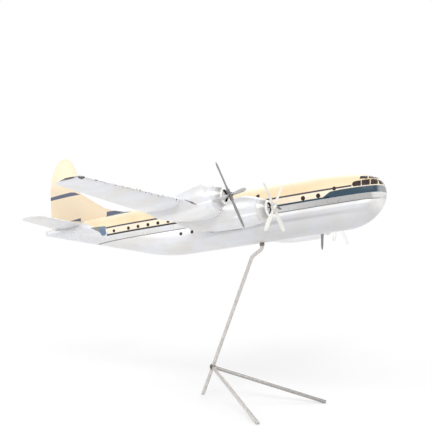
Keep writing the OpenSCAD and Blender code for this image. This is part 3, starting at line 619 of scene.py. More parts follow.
CREAM, CREAM_WARM, CREAM_PALE = ink(244, 224, 188), ink(240, 212, 172), ink(246, 234, 216)
# A painted highlight for the tops of the cream surfaces, a darker cream for the lower fin, and a
# stain
CREAM_HIGHLIGHT, CREAM_DARKER, STAIN = ink(255, 246, 225), ink(222, 206, 184), ink(158, 120, 88)
NAVY, LINE_BLUE, BLACK_NAVY = ink(18, 58, 80), ink(44, 52, 76), ink(24, 34, 48)
SLATE, STEEL_BLUE, OLIVE = ink(70, 84, 112), ink(100, 124, 152), ink(120, 124, 112)
SILVER, SILVER_WARM, SILVER_DARK = ink(226, 227, 231), ink(222, 220, 217), ink(168, 170, 176)
# Painted light: a highlight for the nose and the undersides of the outer nacelles, light on the
# inboard wing, and a highlight on the cowl lips
SILVER_PAINTED_LIGHT, INBOARD_PAINTED_LIGHT, LIP_HIGHLIGHT = ink(250, 250, 250), ink(246, 246, 247), ink(246, 246, 246)
# A grey for the nose strip, a grey for the lower lobe's painted shade band and its darker low
# front, and painted shade behind the cowl lips
STRIP_GREY, BELLY_GREY, COWL_SHADE = ink(158, 156, 154), ink(150, 151, 155), ink(160, 158, 154)
# Grime for specks that also darkens the painted shadow under the wing root, the dark crease line,
# and a dark for chips that also fills painted shadows
GRIME_AND_SHADOW, CREASE_GRIME, CHIP_AND_SHADOW_DARK = ink(112, 104, 98), ink(96, 90, 86), ink(62, 58, 56)
GLASS_DARK, GLASS_BROWN = ink(38, 26, 22), ink(62, 48, 42)
SILVER_METAL, SILVER_COAT, AIRFLOW_GRAIN = 0.25, 0.15, (0.12, 1, 1)

# Livery, as heights, stations and (station, height) outlines in millimetres
SILVER_BELOW_H = (10.6, 10.1)
CREAM_END_LEAN, CREAM_END_S = -2.1, (469.2, 470.2)
# Heights of the painted highlight along the top, and of the paler cream between the lines
HIGHLIGHT_TOP_H, BETWEEN_LINES_H = (33, 50), (10.5, 23.2)
HIGH_LINE_H, HIGH_LINE_S = (21.8, 24.6), (43, 503.5)
LOW_LINE_H, LOW_LINE_S, LOW_LINE_DARKENS_S = (9.3, 12.1), (80, 503.5), (250, 340)
NOSE_BAND = [(-5, 9.3), (-5, 19.9), (60, 19.9), (78, 19), (91, 12), (90, 9.3)]
LINE_CHIP = [(168.2, 9.6), (163, 4.2), (169.4, 5)]
REAR_WEDGE = [(452, 45.5), (514, 45.5), (514, 52), (490, 52)]
REAR_PATCH = [(519.5, 28.2), (504, 26.6), (504, 13.2), (508.5, 10.8), (514.5, 11.2), (519.5, 19.5)]
REAR_POINTER = [(519, 18.5), (519, 28.3), (541, 29.5)]
FIN_BANDS = [
    [(573, 96.4), (583, 102), (592, 103.4), (650, 101.6), (650, 95.6)],
    [(573.4, 47.6), (573.4, 53.8), (599, 51.6)],
    [(516.5, 47), (516.5, 56.6), (498, 56.6), (462, 49.2), (462, 47)],
]
FIN_STAIN_S, FIN_STAIN_H = (566, 576), (38, 47)
# Heights over which the fin's painted highlight grows towards the top, and over which it turns
# darker lower down
FIN_HIGHLIGHT_H, FIN_DARKER_H = (80, 125), (132, 108)
# The crease line, and painted shade and shadow outlines
CREASE_NOSE_S, CREASE_TAIL_S = (3, 9, 0.25, 1), (545, 530)
# Outlines of painted shadows on the lower lobe where the wing root meets it
ROOT_SHADOW = [(313, -8.4), (303, -12.4), (290, -14.9), (290, -13.3), (303, -10.8)]
ROOT_SHADE = [(292, -15.2), (275, -16.6), (238, -17.2), (238, -15.6), (275, -15), (292, -13.6)]
# Heights of the painted shade band along the lower lobe's side, and its softness
BELLY_SHADE_H, BELLY_SHADE_SOFT = (-17, -13), 7
# The outline of a painted shadow in the nook where each outer nacelle meets the wing
NACELLE_NOOK_SHADOW = [(241, 11.2), (224, 4.8), (216, -1.2), (217.5, -2.2), (226, 2.6), (242, 9.6)]
INNER_SIDE = (150, 140)


def silver_colour(f):
    """Aluminium paint: faint clouds and streaks along the airflow."""
    clouds = f.ramp(f.noise(26, 4), 0.35, 0.68)
    streaks = f.ramp(f.noise(70, 4, 0.6, AIRFLOW_GRAIN), 0.5, 0.78)
    return f.mix(streaks, f.mix(clouds, SILVER, SILVER_WARM), SILVER_DARK, 0.12)


def cream_colour(f):
    """Aged cream enamel, warmer in patches, with fine specks."""
    patches = f.ramp(f.noise(16, 4), 0.36, 0.7)
    specks = f.ramp(f.noise(1100, 2, 0.6), 0.75, 0.81)
    return f.mix(specks, f.mix(patches, CREAM, CREAM_WARM), GRIME_AND_SHADOW, 0.45)


def crease_mask(f, clear_h, dark_h):
    """The dark line where the lobes meet, fainter round the nose."""
    line = f.up(clear_h, dark_h)
    return f.least(line, f.along(*CREASE_NOSE_S), f.along(*CREASE_TAIL_S))


def upper_lobe_finish():
    """Cream, painted highlight on top, two navy lines, a navy nose band, over silver strip and
    tail.
    """
    f = Finish("upper_lobe_paint", coat=0.08, specular=0.15)
    cream_end = f.math("MULTIPLY_ADD", f.height, CREAM_END_LEAN, f.station)
    silver = f.most(f.up(*SILVER_BELOW_H), f.ramp(cream_end, *CREAM_END_S))
    # Painted highlight: the cream whitens towards the top
    colour = f.mix(f.up(*HIGHLIGHT_TOP_H), cream_colour(f), CREAM_HIGHLIGHT, 0.85)
    colour = f.mix(f.band(f.height, *BETWEEN_LINES_H), colour, CREAM_PALE, 0.75)
    colour = f.mix(silver, colour, silver_colour(f))
    high_line = f.least(f.band(f.height, *HIGH_LINE_H), f.band(f.station, *HIGH_LINE_S))
    low_line = f.least(f.band(f.height, *LOW_LINE_H), f.band(f.station, *LOW_LINE_S))
    low_blue = f.mix(f.along(*LOW_LINE_DARKENS_S), NAVY, BLACK_NAVY)
    for mask, over, strength in (
        (high_line, LINE_BLUE, 0.95),
        (low_line, low_blue, 0.96),
        (f.most(f.shape(NOSE_BAND), f.shape(LINE_CHIP)), NAVY, 0.96),
        (f.shape(REAR_WEDGE), SLATE, 0.9),
        (f.shape(REAR_POINTER), OLIVE, 0.9),
        (f.shape(REAR_PATCH), STEEL_BLUE, 0.95),
    ):
        colour = f.mix(mask, colour, over, strength)
    strip = f.least(f.up(9.5, 9.0), f.along(230, 60, 0, 0.75), f.along(9, 20))
    colour = f.mix(strip, colour, STRIP_GREY)
    # Painted reflection: the nose tip lightens
    colour = f.mix(f.along(8, 2.5, 0, 0.35), colour, SILVER_PAINTED_LIGHT)
    f.colour(f.mix(crease_mask(f, 1.0, 0.4), colour, CREASE_GRIME, 0.8))
    f.look("Metallic", f.math("MULTIPLY", silver, SILVER_METAL))
    return f.surface(140, (0.26, 0.38), 460, 0.00005)


def lower_lobe_finish():
    """Aluminium paint with painted shade along the side and under the wing root, darker low by the
    nose.
    """
    f = Finish("lower_lobe_paint", metallic=SILVER_METAL, coat=SILVER_COAT)
    off_nose = f.along(10, 40)
    fade = f.least(f.along(330, 240), f.along(40, 130, 0.45, 1), off_nose)
    # Painted shade: a band along the side behind the nose; and darker low down towards the nose
    side_shade = f.least(f.band(f.height, *BELLY_SHADE_H, BELLY_SHADE_SOFT), fade)
    broad = f.least(f.up(-4, -12), f.along(300, 150, 0, 0.24), off_nose)
    darkened = f.most(f.math("MULTIPLY", side_shade, 0.75), broad)
    # Painted shadows where the wing root meets the lower lobe
    root = f.most(
        f.math("MULTIPLY", f.shape(ROOT_SHADOW), 0.8),
        f.math("MULTIPLY", f.shape(ROOT_SHADE, 0.6), 0.45),
    )
    colour = f.mix(darkened, silver_colour(f), BELLY_GREY)
    colour = f.mix(root, colour, GRIME_AND_SHADOW)
    # Painted highlight on the nose front
    colour = f.mix(f.along(14, 6, 0, 0.6), colour, SILVER_PAINTED_LIGHT)
    f.colour(f.mix(crease_mask(f, -1.0, -0.4), colour, CREASE_GRIME, 0.75))
    return f.surface(120, (0.28, 0.4))


def fin_finish():
    """Cream, a painted highlight towards the top and darker below, slate bands, a stain above the
    tailplane.
    """
    f = Finish("fin_paint", coat=0.1, specular=0.25)
    stain = f.least(
        f.band(f.station, *FIN_STAIN_S, 4), f.band(f.height, *FIN_STAIN_H, 3),
        f.ramp(f.noise(150, 4), 0.42, 0.6),
    )
    # Painted highlight towards the top, then darker cream lower down
    colour = f.mix(f.up(*FIN_HIGHLIGHT_H, 0, 0.4), cream_colour(f), CREAM_HIGHLIGHT)
    colour = f.mix(f.up(*FIN_DARKER_H, 0, 0.6), colour, CREAM_DARKER)
    colour = f.mix(stain, colour, STAIN, 0.55)
    f.colour(f.mix(f.most(*[f.shape(band) for band in FIN_BANDS]), colour, SLATE, 0.94))
    return f.surface(140, (0.28, 0.4), 460, 0.00005)


def tailplane_finish():
    f = Finish("silver_paint", metallic=SILVER_METAL, coat=SILVER_COAT)
    f.colour(silver_colour(f))
    return f.surface()


def wing_finish():
    """Aluminium paint, painted light inboard, bare chips on the leading edge and a dark patchy tip.
    """
    f = Finish("wing_paint", metallic=SILVER_METAL, coat=SILVER_COAT)
    reach = f.math("ABSOLUTE", f.side)
    lead = f.math("MULTIPLY_ADD", reach, tand(WING_SWEEP), WING_S)
    edge = f.math("SUBTRACT", f.station, lead)
    spots = f.ramp(f.noise(240, 3, 0.65), 0.56, 0.63, 0, 0.85)
    chips = f.math("MULTIPLY", f.ramp(edge, 2.6, 0.6), spots)
    tip_patches = f.ramp(f.noise(170, 4, 0.65), 0.34, 0.5, 0.35, 0.95)
    # A dark, patchy rim along the tip and at its front corner
    tip = f.least(f.ramp(reach, 410.5, 412), tip_patches)
    corner = f.least(f.band(reach, 402, 412, 1), f.ramp(edge, 6, 4), tip_patches)
    # Painted light: the wing lightens inboard
    colour = f.mix(f.ramp(reach, 235, 200, 0, 0.6), silver_colour(f), INBOARD_PAINTED_LIGHT)
    f.colour(f.mix(f.most(chips, tip, corner), colour, CHIP_AND_SHADOW_DARK))
    return f.surface()


def nacelle_finish():
    """Aluminium paint: painted shade on the inner nacelles' tops, painted light under the outer
    ones.
    """
    f = Finish("nacelle_paint", metallic=SILVER_METAL, coat=SILVER_COAT)
    inner = f.ramp(f.math("ABSOLUTE", f.side), *INNER_SIDE)
    outer = f.math("SUBTRACT", 1, inner)
    # Painted shade on top of the inner nacelles
    darkened = f.least(inner, f.up(6, 17, 0, 0.42))
    # Painted light under the outer nacelles
    lit_under = f.least(outer, f.up(-2, -8, 0, 0.45))
    # Painted shadow in the nook where each outer nacelle meets the wing
    nook_patches = f.ramp(f.noise(210, 3), 0.3, 0.5, 0.35, 0.85)
    nook = f.least(f.shape(NACELLE_NOOK_SHADOW, 0.5), outer, nook_patches)
    colour = f.mix(darkened, silver_colour(f), SILVER_DARK)
    f.colour(f.mix(nook, f.mix(lit_under, colour, SILVER_PAINTED_LIGHT), CHIP_AND_SHADOW_DARK))
    return f.surface()


def cowl_finish():
    """Painted highlight on the rolled lip ahead, painted shade behind it that clears towards the
    nacelle.
    """
    f = Finish("cowl_metal", metallic=SILVER_METAL, coat=0.2)
    inner = f.ramp(f.math("ABSOLUTE", f.side), *INNER_SIDE)
    outer_s, inner_s = ENGINE_S[0] + COWL_GAP, ENGINE_S[1] + COWL_GAP
    back = f.math("SUBTRACT", f.station, f.mix(inner, (outer_s,) * 3 + (1,), (inner_s,) * 3 + (1,)))
    # Painted shade behind the lip
    darkened = f.least(f.ramp(back, 1.4, 2.8), f.ramp(back, 14, 3, 0.04, 0.9))
    colour = f.mix(darkened, silver_colour(f), COWL_SHADE)
    # Painted highlight on the lip
    f.colour(f.mix(f.ramp(back, 2.4, 1.4), colour, LIP_HIGHLIGHT))
    return f.surface(150, (0.24, 0.36), 420, 0.00005)


def glass_finish():
    f = Finish("window_glass", coat=0.12, specular=0.25)
    f.colour(f.mix(f.ramp(f.noise(180, 3), 0.35, 0.7), GLASS_DARK, GLASS_BROWN))
    return f.surface(200, bump_scale=0, detail=2)


def metal_finish(name, light, dark, roughness, metallic, grain=(1, 1, 1)):
    f = Finish(name, metallic=metallic)
    f.colour(f.mix(f.ramp(f.noise(300, 4, 0.6, grain), 0.35, 0.75), ink(*light), ink(*dark)))
    return f.surface(160, (roughness - 0.06, roughness + 0.08), 700, 0.00004, stretch=grain)


ROD_GRAIN, LEG_GRAIN, BLADE_GRAIN = (1, 1, 0.15), (1, 0.15, 1), (1, 1, 0.3)
# Name: light and dark colour, roughness, metallic, stretch of the grain
METALS = {
    "rod_steel": ((216, 212, 208), (188, 184, 180), 0.38, 0.5, ROD_GRAIN),
    # Painted light and shade: the two legs are lit and shaded copies of one steel
    "leg_steel_right": ((200, 196, 192), (176, 172, 168), 0.38, 0.55, LEG_GRAIN),
    "leg_steel_left": ((176, 173, 170), (150, 147, 144), 0.4, 0.55, LEG_GRAIN),
    "nut_steel": ((144, 138, 130), (104, 96, 88), 0.42, 0.9),
    "weld_steel": ((120, 114, 106), (66, 60, 56), 0.48, 0.9),
    "inner_steel": ((160, 160, 162), (120, 120, 122), 0.35, 0.9),
    "engine_black": ((26, 26, 28), (46, 44, 44), 0.5, 0.2),
    "face_paint": ((246, 246, 245), (232, 231, 229), 0.4, 0.1),
    # Painted light and shade: the hub and blade paints from here on are lit and shaded copies of
    # one hub metal and one blade paint
    "hub_metal": ((140, 140, 142), (84, 82, 82), 0.32, 0.6),
    "pale_hub": ((226, 225, 220), (198, 196, 190), 0.34, 0.3),
    "bright_blade": ((254, 254, 252), (248, 248, 246), 0.5, 0.0, BLADE_GRAIN),
    "level_blade": ((194, 194, 193), (172, 172, 171), 0.34, 0.3, BLADE_GRAIN),
    "pale_blade": ((242, 240, 233), (230, 228, 221), 0.34, 0.15, BLADE_GRAIN),
    "grey_blade": ((150, 150, 152), (120, 120, 122), 0.34, 0.4, BLADE_GRAIN),
}
METAL = {name: metal_finish(name, *facts) for name, facts in METALS.items()}
WINDOW_GLASS = glass_finish()

# ---- fuselage
# The cut end of the tail cone has a small rounded edge
END_RADIUS, END_ROUND = 0.8, ((0.35, 0.25), (0.9, 0))
upper = [ring_of(s, upper_circle, True, UPPER_STEPS) for s in stations(BODY_LEN - END_RADIUS)]
end = upper[-1]
end_centre = sum(p[2] for p in end) / len(end)
for inset, before in END_ROUND:
    shrink = 1 - inset / ((TAIL_TOP_H - TAIL_LOW_H) / 2)
    x = before - BODY_LEN
    upper.append([(x, p[1] * shrink, end_centre + (p[2] - end_centre) * shrink) for p in end])
add_piece(
    "upper_lobe", *skin(upper), upper_lobe_finish(), "cream_paint",
    ["fuselage_upper_shell"], sharp=50,
)

LOWER_END_GAP = 3
lower_stations = stations(CREASE_END_S - LOWER_END_GAP)
lower = [ring_of(s, lower_circle, False, LOWER_STEPS) for s in lower_stations]
add_piece(
    "lower_lobe", *skin(lower), lower_lobe_finish(), "silver_paint",
    ["fuselage_lower_shell"], sharp=50,
)

# ---- windows
CORNER_CUTS, CORNER_CUT, OUTLINE_STEP = 3, 0.06, 1.2
PANE_RINGS, PANE_EDGE, PANE_SUNK = 8, 0.6, 0.4
LOW_PANE_PROUD, HIGH_PANE_PROUD, ROUND_PANE_PROUD = 0.3, 0.7, 0.35
LOW_PANE_REACH, ROUND_PANE_REACH = 60, 6


def between(a, b, share):
    return a[0] + (b[0] - a[0]) * share, a[1] + (b[1] - a[1]) * share


def rounded(corners):
    """An outline with its corners cut again and again until they are round, in short steps."""
    for _ in range(CORNER_CUTS):
        sides = zip(corners, corners[1:] + corners[:1])
        corners = [between(a, b, share) for a, b in sides for share in (CORNER_CUT, 1 - CORNER_CUT)]
    fine = []
    for a, b in zip(corners, corners[1:] + corners[:1]):
        parts = max(1, round(math.hypot(b[0] - a[0], b[1] - a[1]) / OUTLINE_STEP))
        fine += [between(a, b, i / parts) for i in range(parts)]
    return fine


def pane(outline, to_surface, circle, proud):
    """A thin pane that follows a lobe: to_surface turns an outline's point into one on the lobe."""
    n = len(outline)
    middle = (sum(p[0] for p in outline) / n, sum(p[1] for p in outline) / n)

    def lifted(p, lift):
        on = to_surface(*p)
        return on + lobe_normal(on, circle) * lift

    points = [lifted(middle, proud)]
    for k in range(1, PANE_RINGS + 1):
        lift = proud * (PANE_EDGE if k == PANE_RINGS else 1.0)
        points += [lifted(between(middle, p, k / PANE_RINGS), lift) for p in outline]
    points += [lifted(p, -PANE_SUNK) for p in outline]
    faces = [(0, 1 + i, 1 + (i + 1) % n) for i in range(n)]
    for k in range(PANE_RINGS):
        faces += loop_faces(1 + k * n, 1 + (k + 1) * n, n)
    faces.append(tuple(1 + PANE_RINGS * n + i for i in range(n)))
    return points, faces


def mirrored(part):
    return [Vector((p[0], -p[1], p[2])) for p in part[0]], part[1]


# The right half of the lower row: how far to the right each pane faces, in degrees, and its
# corners, across that direction and up
LOW_PANES = [
    (75, [(-46.8, 21.6), (-34.6, 21.2), (-34.2, 30.2), (-44.2, 29.8), (-47.4, 27.6), (-48.2, 25)]),
    (70, [(-34.9, 21.2), (-22.6, 21.2), (-21.6, 31), (-34.1, 30.4)]),
    (45, [(-26, 21.4), (-14.2, 21.8), (-10.6, 31.2), (-22.2, 31.1)]),
    (15, [(-12.6, 21.9), (-2.4, 22), (-3, 28.8), (-8.6, 29.8)]),
]
# The right half of the upper row, as corners seen from above
HIGH_PANES = [
    [(-31.6, -21.2), (-20.3, -17.4), (-22, -10.4), (-32.1, -15.6)],
    [(-18.9, -16), (-11.4, -9.6), (-14.4, -5), (-20.8, -8.9)],
    [(-11.4, -6.6), (-9.8, -1.4), (-12.6, -1.4), (-13.6, -4.2)],
]


def low_pane(angle, corners):
    ahead = Vector((cosd(angle), -sind(angle), 0))
    across = Vector((sind(angle), cosd(angle), 0))

    def to_surface(u, v):
        return on_lobe(across * u + Vector((0, 0, v)), ahead, upper_circle, LOW_PANE_REACH)

    return pane(rounded(corners), to_surface, upper_circle, LOW_PANE_PROUD)


def high_pane(corners):
    def to_surface(x, y):
        zc, r = upper_circle(-x)
        return Vector((x, y, zc + math.sqrt(r * r - y * y)))

    return pane(rounded(corners), to_surface, upper_circle, HIGH_PANE_PROUD)


def add_glass(name, panes, node):
    add_piece(name, *join(panes), WINDOW_GLASS, "dark_glass", [node])


panes = [low_pane(*p) for p in LOW_PANES] + [high_pane(p) for p in HIGH_PANES]
add_glass("cockpit_glazing", panes + [mirrored(p) for p in panes], "cockpit_windows")


def round_window(s, z, across, circle=upper_circle):
    """A round pane on the right side of a lobe."""
    zc, r = circle(s)
    middle = Vector((-s, -math.sqrt(r * r - (z - zc) ** 2), z))
    out = lobe_normal(middle, circle)
    along = (Vector((1, 0, 0)) - out * out.x).normalized()
    up = out.cross(along)
    outline = [(across / 2 * cosd(a), across / 2 * sind(a)) for a in range(0, 360, 12)]

    def to_surface(u, v):
        return on_lobe(middle + along * u + up * v, out, circle, ROUND_PANE_REACH)

    return pane(outline, to_surface, circle, ROUND_PANE_PROUD)


def window_row(first_s, pitch, count, z, across, circle=upper_circle):
    return [round_window(first_s + i * pitch, z, across, circle) for i in range(count)]


windows = window_row(FRONT_WINDOW_S, FRONT_PITCH, FRONT_WINDOWS, WINDOW_H, FRONT_GLASS)
windows += [round_window(*NOSE_WINDOW, NOSE_GLASS), round_window(*WING_WINDOW, WING_GLASS)]
windows += [round_window(LAST_WINDOW_S, WINDOW_H, LAST_GLASS)]
windows += window_row(REAR_WINDOW_S, REAR_PITCH, REAR_WINDOWS, WINDOW_H, REAR_GLASS)
windows += window_row(LOW_WINDOW_S, LOW_PITCH, LOW_WINDOWS, -LOW_WINDOW_D, LOW_GLASS, lower_circle)
add_glass("round_windows_right", windows, "windows_right")
add_glass("round_windows_left", [mirrored(w) for w in windows], "windows_left")

# ---- wings and tail
WING_INSIDE, TAILPLANE_INSIDE, TIP_RINGS = 6, 4, 14
ROOT_RINGS, SPAN_RINGS, TAILPLANE_RINGS = 12, 24, 20
FIN_LOW_RINGS, FIN_CROWDING, FIN_TOP_RINGS = 40, 1.3, 30


def add_pair(kind, ring_at, rings_y, paint):
    """The right and the left skin of a pair."""
    for side, name in ((-1, "_right"), (1, "_left")):
        rings = [ring_at(y, side) for y in rings_y]
        skin_name, node_name = kind + "_skin" + name, kind + name
        add_piece(skin_name, *skin(rings), paint, "silver_paint", [node_name], sharp=60)


fillet_y = ROOT_Y + FILLET_SPAN
wing_y = spread(ROOT_Y - WING_INSIDE, fillet_y, ROOT_RINGS, 0)
wing_y += spread(fillet_y, HALF_SPAN - TIP_ROUND, SPAN_RINGS)
wing_y += crowd(HALF_SPAN - TIP_ROUND, HALF_SPAN, TIP_RINGS)
add_pair("wing", wing_ring, wing_y, wing_finish())

fin_z = spread(FIN_BASE_Z, FRONT_BEND_H, FIN_LOW_RINGS, 0, FIN_CROWDING)
fin_z += crowd(FRONT_BEND_H, FIN_H - FIN_TOP_CUT, FIN_TOP_RINGS)
fin_skin = skin([fin_ring(z) for z in fin_z])
add_piece("fin_skin", *fin_skin, fin_finish(), "cream_paint", ["tail_fin"], sharp=60)

tailplane_y = spread(TAILPLANE_INSIDE, TAIL_HALF_SPAN - TAIL_TIP_ROUND, TAILPLANE_RINGS, 0)
tailplane_y += crowd(TAIL_HALF_SPAN - TAIL_TIP_ROUND, TAIL_HALF_SPAN, TIP_RINGS)
add_pair("tailplane", tail_ring, tailplane_y, tailplane_finish())

# ---- nacelles, cowlings and engines
SWELL_RINGS, TAIL_RINGS, COWL_STEPS, COWL_CROWDING = 14, 30, 20, 1.5
# Rings at the nacelle's front edge and at the groove round its barrel: (distance aft, depth)
FRONT_EDGE = ((0, 0.5), (0.5, 0.5), (0.6, 0))
BARREL_GROOVE = ((-1.2, 0), (-1.1, 0.3), (0.3, 0.3), (0.4, 0))


def nacelle_skin(n):
    swell_u = COWL_REAR_U + BARREL_LEN[n]
    full_u = swell_u + SWELL_LEN[n]
    rows = [(COWL_REAR_U + u, depth) for u, depth in FRONT_EDGE]
    if BARREL_LEN[n]:
        rows += [(swell_u + u, depth) for u, depth in BARREL_GROOVE]
    rows += [(u, 0) for u in spread(rows[-1][0], full_u, SWELL_RINGS)]
    rows += [(u, 0) for u in spread(full_u, tail_u(n), TAIL_RINGS)]
    return skin([nacelle_ring(u, n, depth) for u, depth in rows])


lip_r = (COWL_LIP_R - COWL_MOUTH_R) / 2
lip_u = -COWL_GAP - lip_r
cowl_t = spread(0, 1, COWL_STEPS, power=COWL_CROWDING)
outer_rise = COWL_REAR_R - COWL_LIP_R
inner_rise = COWL_REAR_R - COWL_WALL - COWL_MOUTH_R
COWL_PROFILE = [
    (lip_u + lip_r * cosd(a), COWL_MOUTH_R + lip_r - lip_r * sind(a)) for a in range(90, -91, -15)
]
COWL_PROFILE += [
    (lip_u - (COWL_LEN - lip_r) * t, COWL_LIP_R + outer_rise * t ** COWL_BELL) for t in cowl_t
]
COWL_PROFILE += [
    (lip_u - (COWL_LEN - lip_r) * t, COWL_MOUTH_R + inner_rise * t ** COWL_INNER_BELL)
    for t in reversed(cowl_t)
]
face_u = -COWL_GAP - FACE_BACK
FACE_PROFILE = [
    (face_u - 0.8, 0.4), (face_u - 0.8, FACE_R), (face_u, FACE_R - 0.6),
    (face_u + 0.5, FACE_R * 0.6), (face_u + 0.8, 0.4),
]
nacelle_paint, cowl_metal = nacelle_finish(), cowl_finish()
for n, number in enumerate("1234"):
    add_piece(
        "nacelle_skin_" + number, *nacelle_skin(n), nacelle_paint, "silver_paint",
        ["nacelle_" + number], sharp=45,
    )
    cowl = add_piece(
        "cowl_ring_" + number, *lathe(COWL_PROFILE), cowl_metal, "cowl_metal",
        ["cowling_" + number], matrix=at_engine(n), sharp=50,
    )
    cowl.data.materials.append(METAL["engine_black"])
    for k, face in enumerate(cowl.data.polygons):
        face.material_index = int(k % len(COWL_PROFILE) >= len(COWL_PROFILE) - COWL_STEPS - 1)
    add_piece(
        "engine_face_" + number, *lathe(FACE_PROFILE), METAL["face_paint"], "silver_paint",
        matrix=at_engine(n), sharp=40,
    )


# ---- propeller blades
BLADES, BLADE_POINTS, TIP_T, TIP_FADE, TIP_LEAST = 4, 24, 0.8, 0.204, 0.04
ROOT_T_SHARE, BLADE_THIN, BLADE_THIN_POWER, BLADE_THIN_BY = 0.35, 0.93, 0.55, 1.15
BLADE_EDGE_T, BLADE_RINGS, BLADE_TIP_RINGS = 0.5, 16, 12


def blade_width(t, chord):
    if t > TIP_T:
        return chord * math.sqrt(max(TIP_LEAST, 1 - ((t - TIP_T) / TIP_FADE) ** 2))
    return BLADE_ROOT_T + (chord - BLADE_ROOT_T) * sind(90 * clamp01(t / ROOT_T_SHARE))


def blade_thickness(t):
    thinned = BLADE_THIN * clamp01(t * BLADE_THIN_BY) ** BLADE_THIN_POWER
    return BLADE_ROOT_T * (1 - thinned) + BLADE_EDGE_T


def blade(angle, tip_pitch, chord):
    """A twisted blade in the propeller's own frame, whose Z is the pin's axis."""
    rings = []
    for t in spread(0, TIP_T, BLADE_RINGS, 0) + crowd(TIP_T, 1, BLADE_TIP_RINGS):
        r = SOCKET_OUT + (PROP_R - SOCKET_OUT) * t
        pitch = tip_pitch + BLADE_TWIST * (1 - t)
        ring = []
        for i in range(BLADE_POINTS):
            a = 360 / BLADE_POINTS * i
            x, y = blade_thickness(t) / 2 * cosd(a), blade_width(t, chord) / 2 * sind(a)
            flat, side = x * cosd(pitch) - y * sind(pitch), x * sind(pitch) + y * cosd(pitch)
            ring.append((
                r * cosd(angle) - side * sind(angle), r * sind(angle) + side * cosd(angle), -flat,
            ))
        rings.append(ring)
    return skin(rings)


# Paints of each propeller's level and upright blades, as the light falls on them in the photo
BLADE_PAINTS = (("bright", "bright"), ("grey", "grey"), ("pale", "pale"), ("level", "grey"))
for n, number in enumerate("1234"):
    level_paint, upright_paint = (METAL[shade + "_blade"] for shade in BLADE_PAINTS[n])
    turns = [-PROP_TURN[n] + 360 / BLADES * i for i in range(BLADES)]
    blades = join([blade(a, BLADE_PITCH[n], BLADE_CHORDS[n]) for a in turns])
    piece = add_piece(
        "blades_" + number, *blades, level_paint, "blade_metal", ["propeller_blades_" + number],
        body="propeller_" + number, matrix=at_pin(n), sharp=60,
    )
    piece.data.materials.append(upright_paint)
    for k, face in enumerate(piece.data.polygons):
        face.material_index = k // (len(blades[1]) // BLADES) % 2

# ---- stand
ROD_ANGLES, ROD_INSIDE, BEND_STEPS, REAR_PAST = range(0, 360, 9), 14, 18, 4
LEG_START, FOOT_UP, FOOT_EDGE, FOOT_SHRINK = 1.5, 2.2, 0.5, 0.86
WELD_ROWS, WELD_COLUMNS, WELD_PROUD = 24, 36, 2.1
WELD_LUMPS = ((0.7, 2.6), (0.3, 7))  # height, fineness
NUT_R, NUT_RINGS = 4.3, ((-6.4, 3.5), (-6.4, 3.8), (-5.9, 4.2), (-5.5, 5), (1, 5))

# The rod's middle line in its own upright plane: two bends between the stub and the long slope
slope_start, slope_end = Vector((-BEND_BACK, -BEND_DROP)), Vector((-REAR_FOOT, -STAND_H))
slope = (slope_end - slope_start).normalized()
slope_a = math.degrees(math.atan2(-slope.x, -slope.y))
bend = BEND_R + ROD_R
first_end = Vector((-bend * (1 - cosd(JOG)), -STUB_LEN - bend * sind(JOG)))
second_turn = Vector((cosd(JOG) - cosd(slope_a), sind(slope_a) - sind(JOG))) * bend
jog = Vector((-sind(JOG), -cosd(JOG)))
gap = slope_start - first_end - second_turn
jog_len = (gap.x * slope.y - gap.y * slope.x) / (jog.x * slope.y - jog.y * slope.x)
second_start = first_end + jog * jog_len
path = [(0, ROD_INSIDE, 0), (0, -STUB_LEN, 0)]
for a in spread(0, JOG, BEND_STEPS):
    path.append((-bend * (1 - cosd(a)), -STUB_LEN - bend * sind(a), a))
for a in spread(JOG, slope_a, BEND_STEPS, 0):
    x = second_start.x + bend * (cosd(JOG) - cosd(a))
    path.append((x, second_start.y + bend * (sind(a) - sind(JOG)), a))
path.append((slope_end.x + REAR_PAST * slope.x, slope_end.y + REAR_PAST * slope.y, slope_a))


def tube_ring(x, z, lean):
    return [
        (x + ROD_R * cosd(t) * cosd(lean), ROD_R * sind(t), z - ROD_R * cosd(t) * sind(lean))
        for t in ROD_ANGLES
    ]


add_piece(
    "long_rod", *skin([tube_ring(*place) for place in path]), METAL["rod_steel"], "rod_steel",
    ["stand_main_rod"], matrix=STAND, sharp=40, floor_cut=True,
)

knot = slope_end + slope * (KNOT_H / slope.y)
start = Vector((knot.x, 0, knot.y))
for side, name in ((-1, "right"), (1, "left")):
    foot = Vector((FRONT_FOOT, side * FOOT_HALF, -STAND_H + FOOT_UP))
    ahead = (foot - start).normalized()
    across = ahead.cross(Vector((0, 0, 1))).normalized()
    over = across.cross(ahead)
    reach = (foot - start).length
    rings = [
        [start + ahead * d + (across * cosd(t) + over * sind(t)) * ROD_R * k for t in ROD_ANGLES]
        for d, k in ((LEG_START, 1), (reach - FOOT_EDGE, 1), (reach, FOOT_SHRINK))
    ]
    add_piece(
        "leg_rod_" + name, *skin(rings), METAL["leg_steel_" + name], "rod_steel",
        ["stand_leg_" + name], matrix=STAND, sharp=40, floor_cut=True,
    )

weld_points, weld_faces = [], []
for i in range(WELD_ROWS + 1):
    down = 180 * i / WELD_ROWS
    for j in range(WELD_COLUMNS):
        a = 360 * j / WELD_COLUMNS
        d = Vector((sind(down) * cosd(a), sind(down) * sind(a), cosd(down)))
        lumps = sum(height * noise.noise(d * fineness) for height, fineness in WELD_LUMPS)
        weld_points.append(start + d * (ROD_R + WELD_PROUD + lumps))
for i in range(WELD_ROWS):
    weld_faces += loop_faces(i * WELD_COLUMNS, (i + 1) * WELD_COLUMNS, WELD_COLUMNS)
add_piece(
    "weld_bead", weld_points, weld_faces, METAL["weld_steel"], "dark_steel",
    ["stand_weld"], matrix=STAND, sharp=70,
)


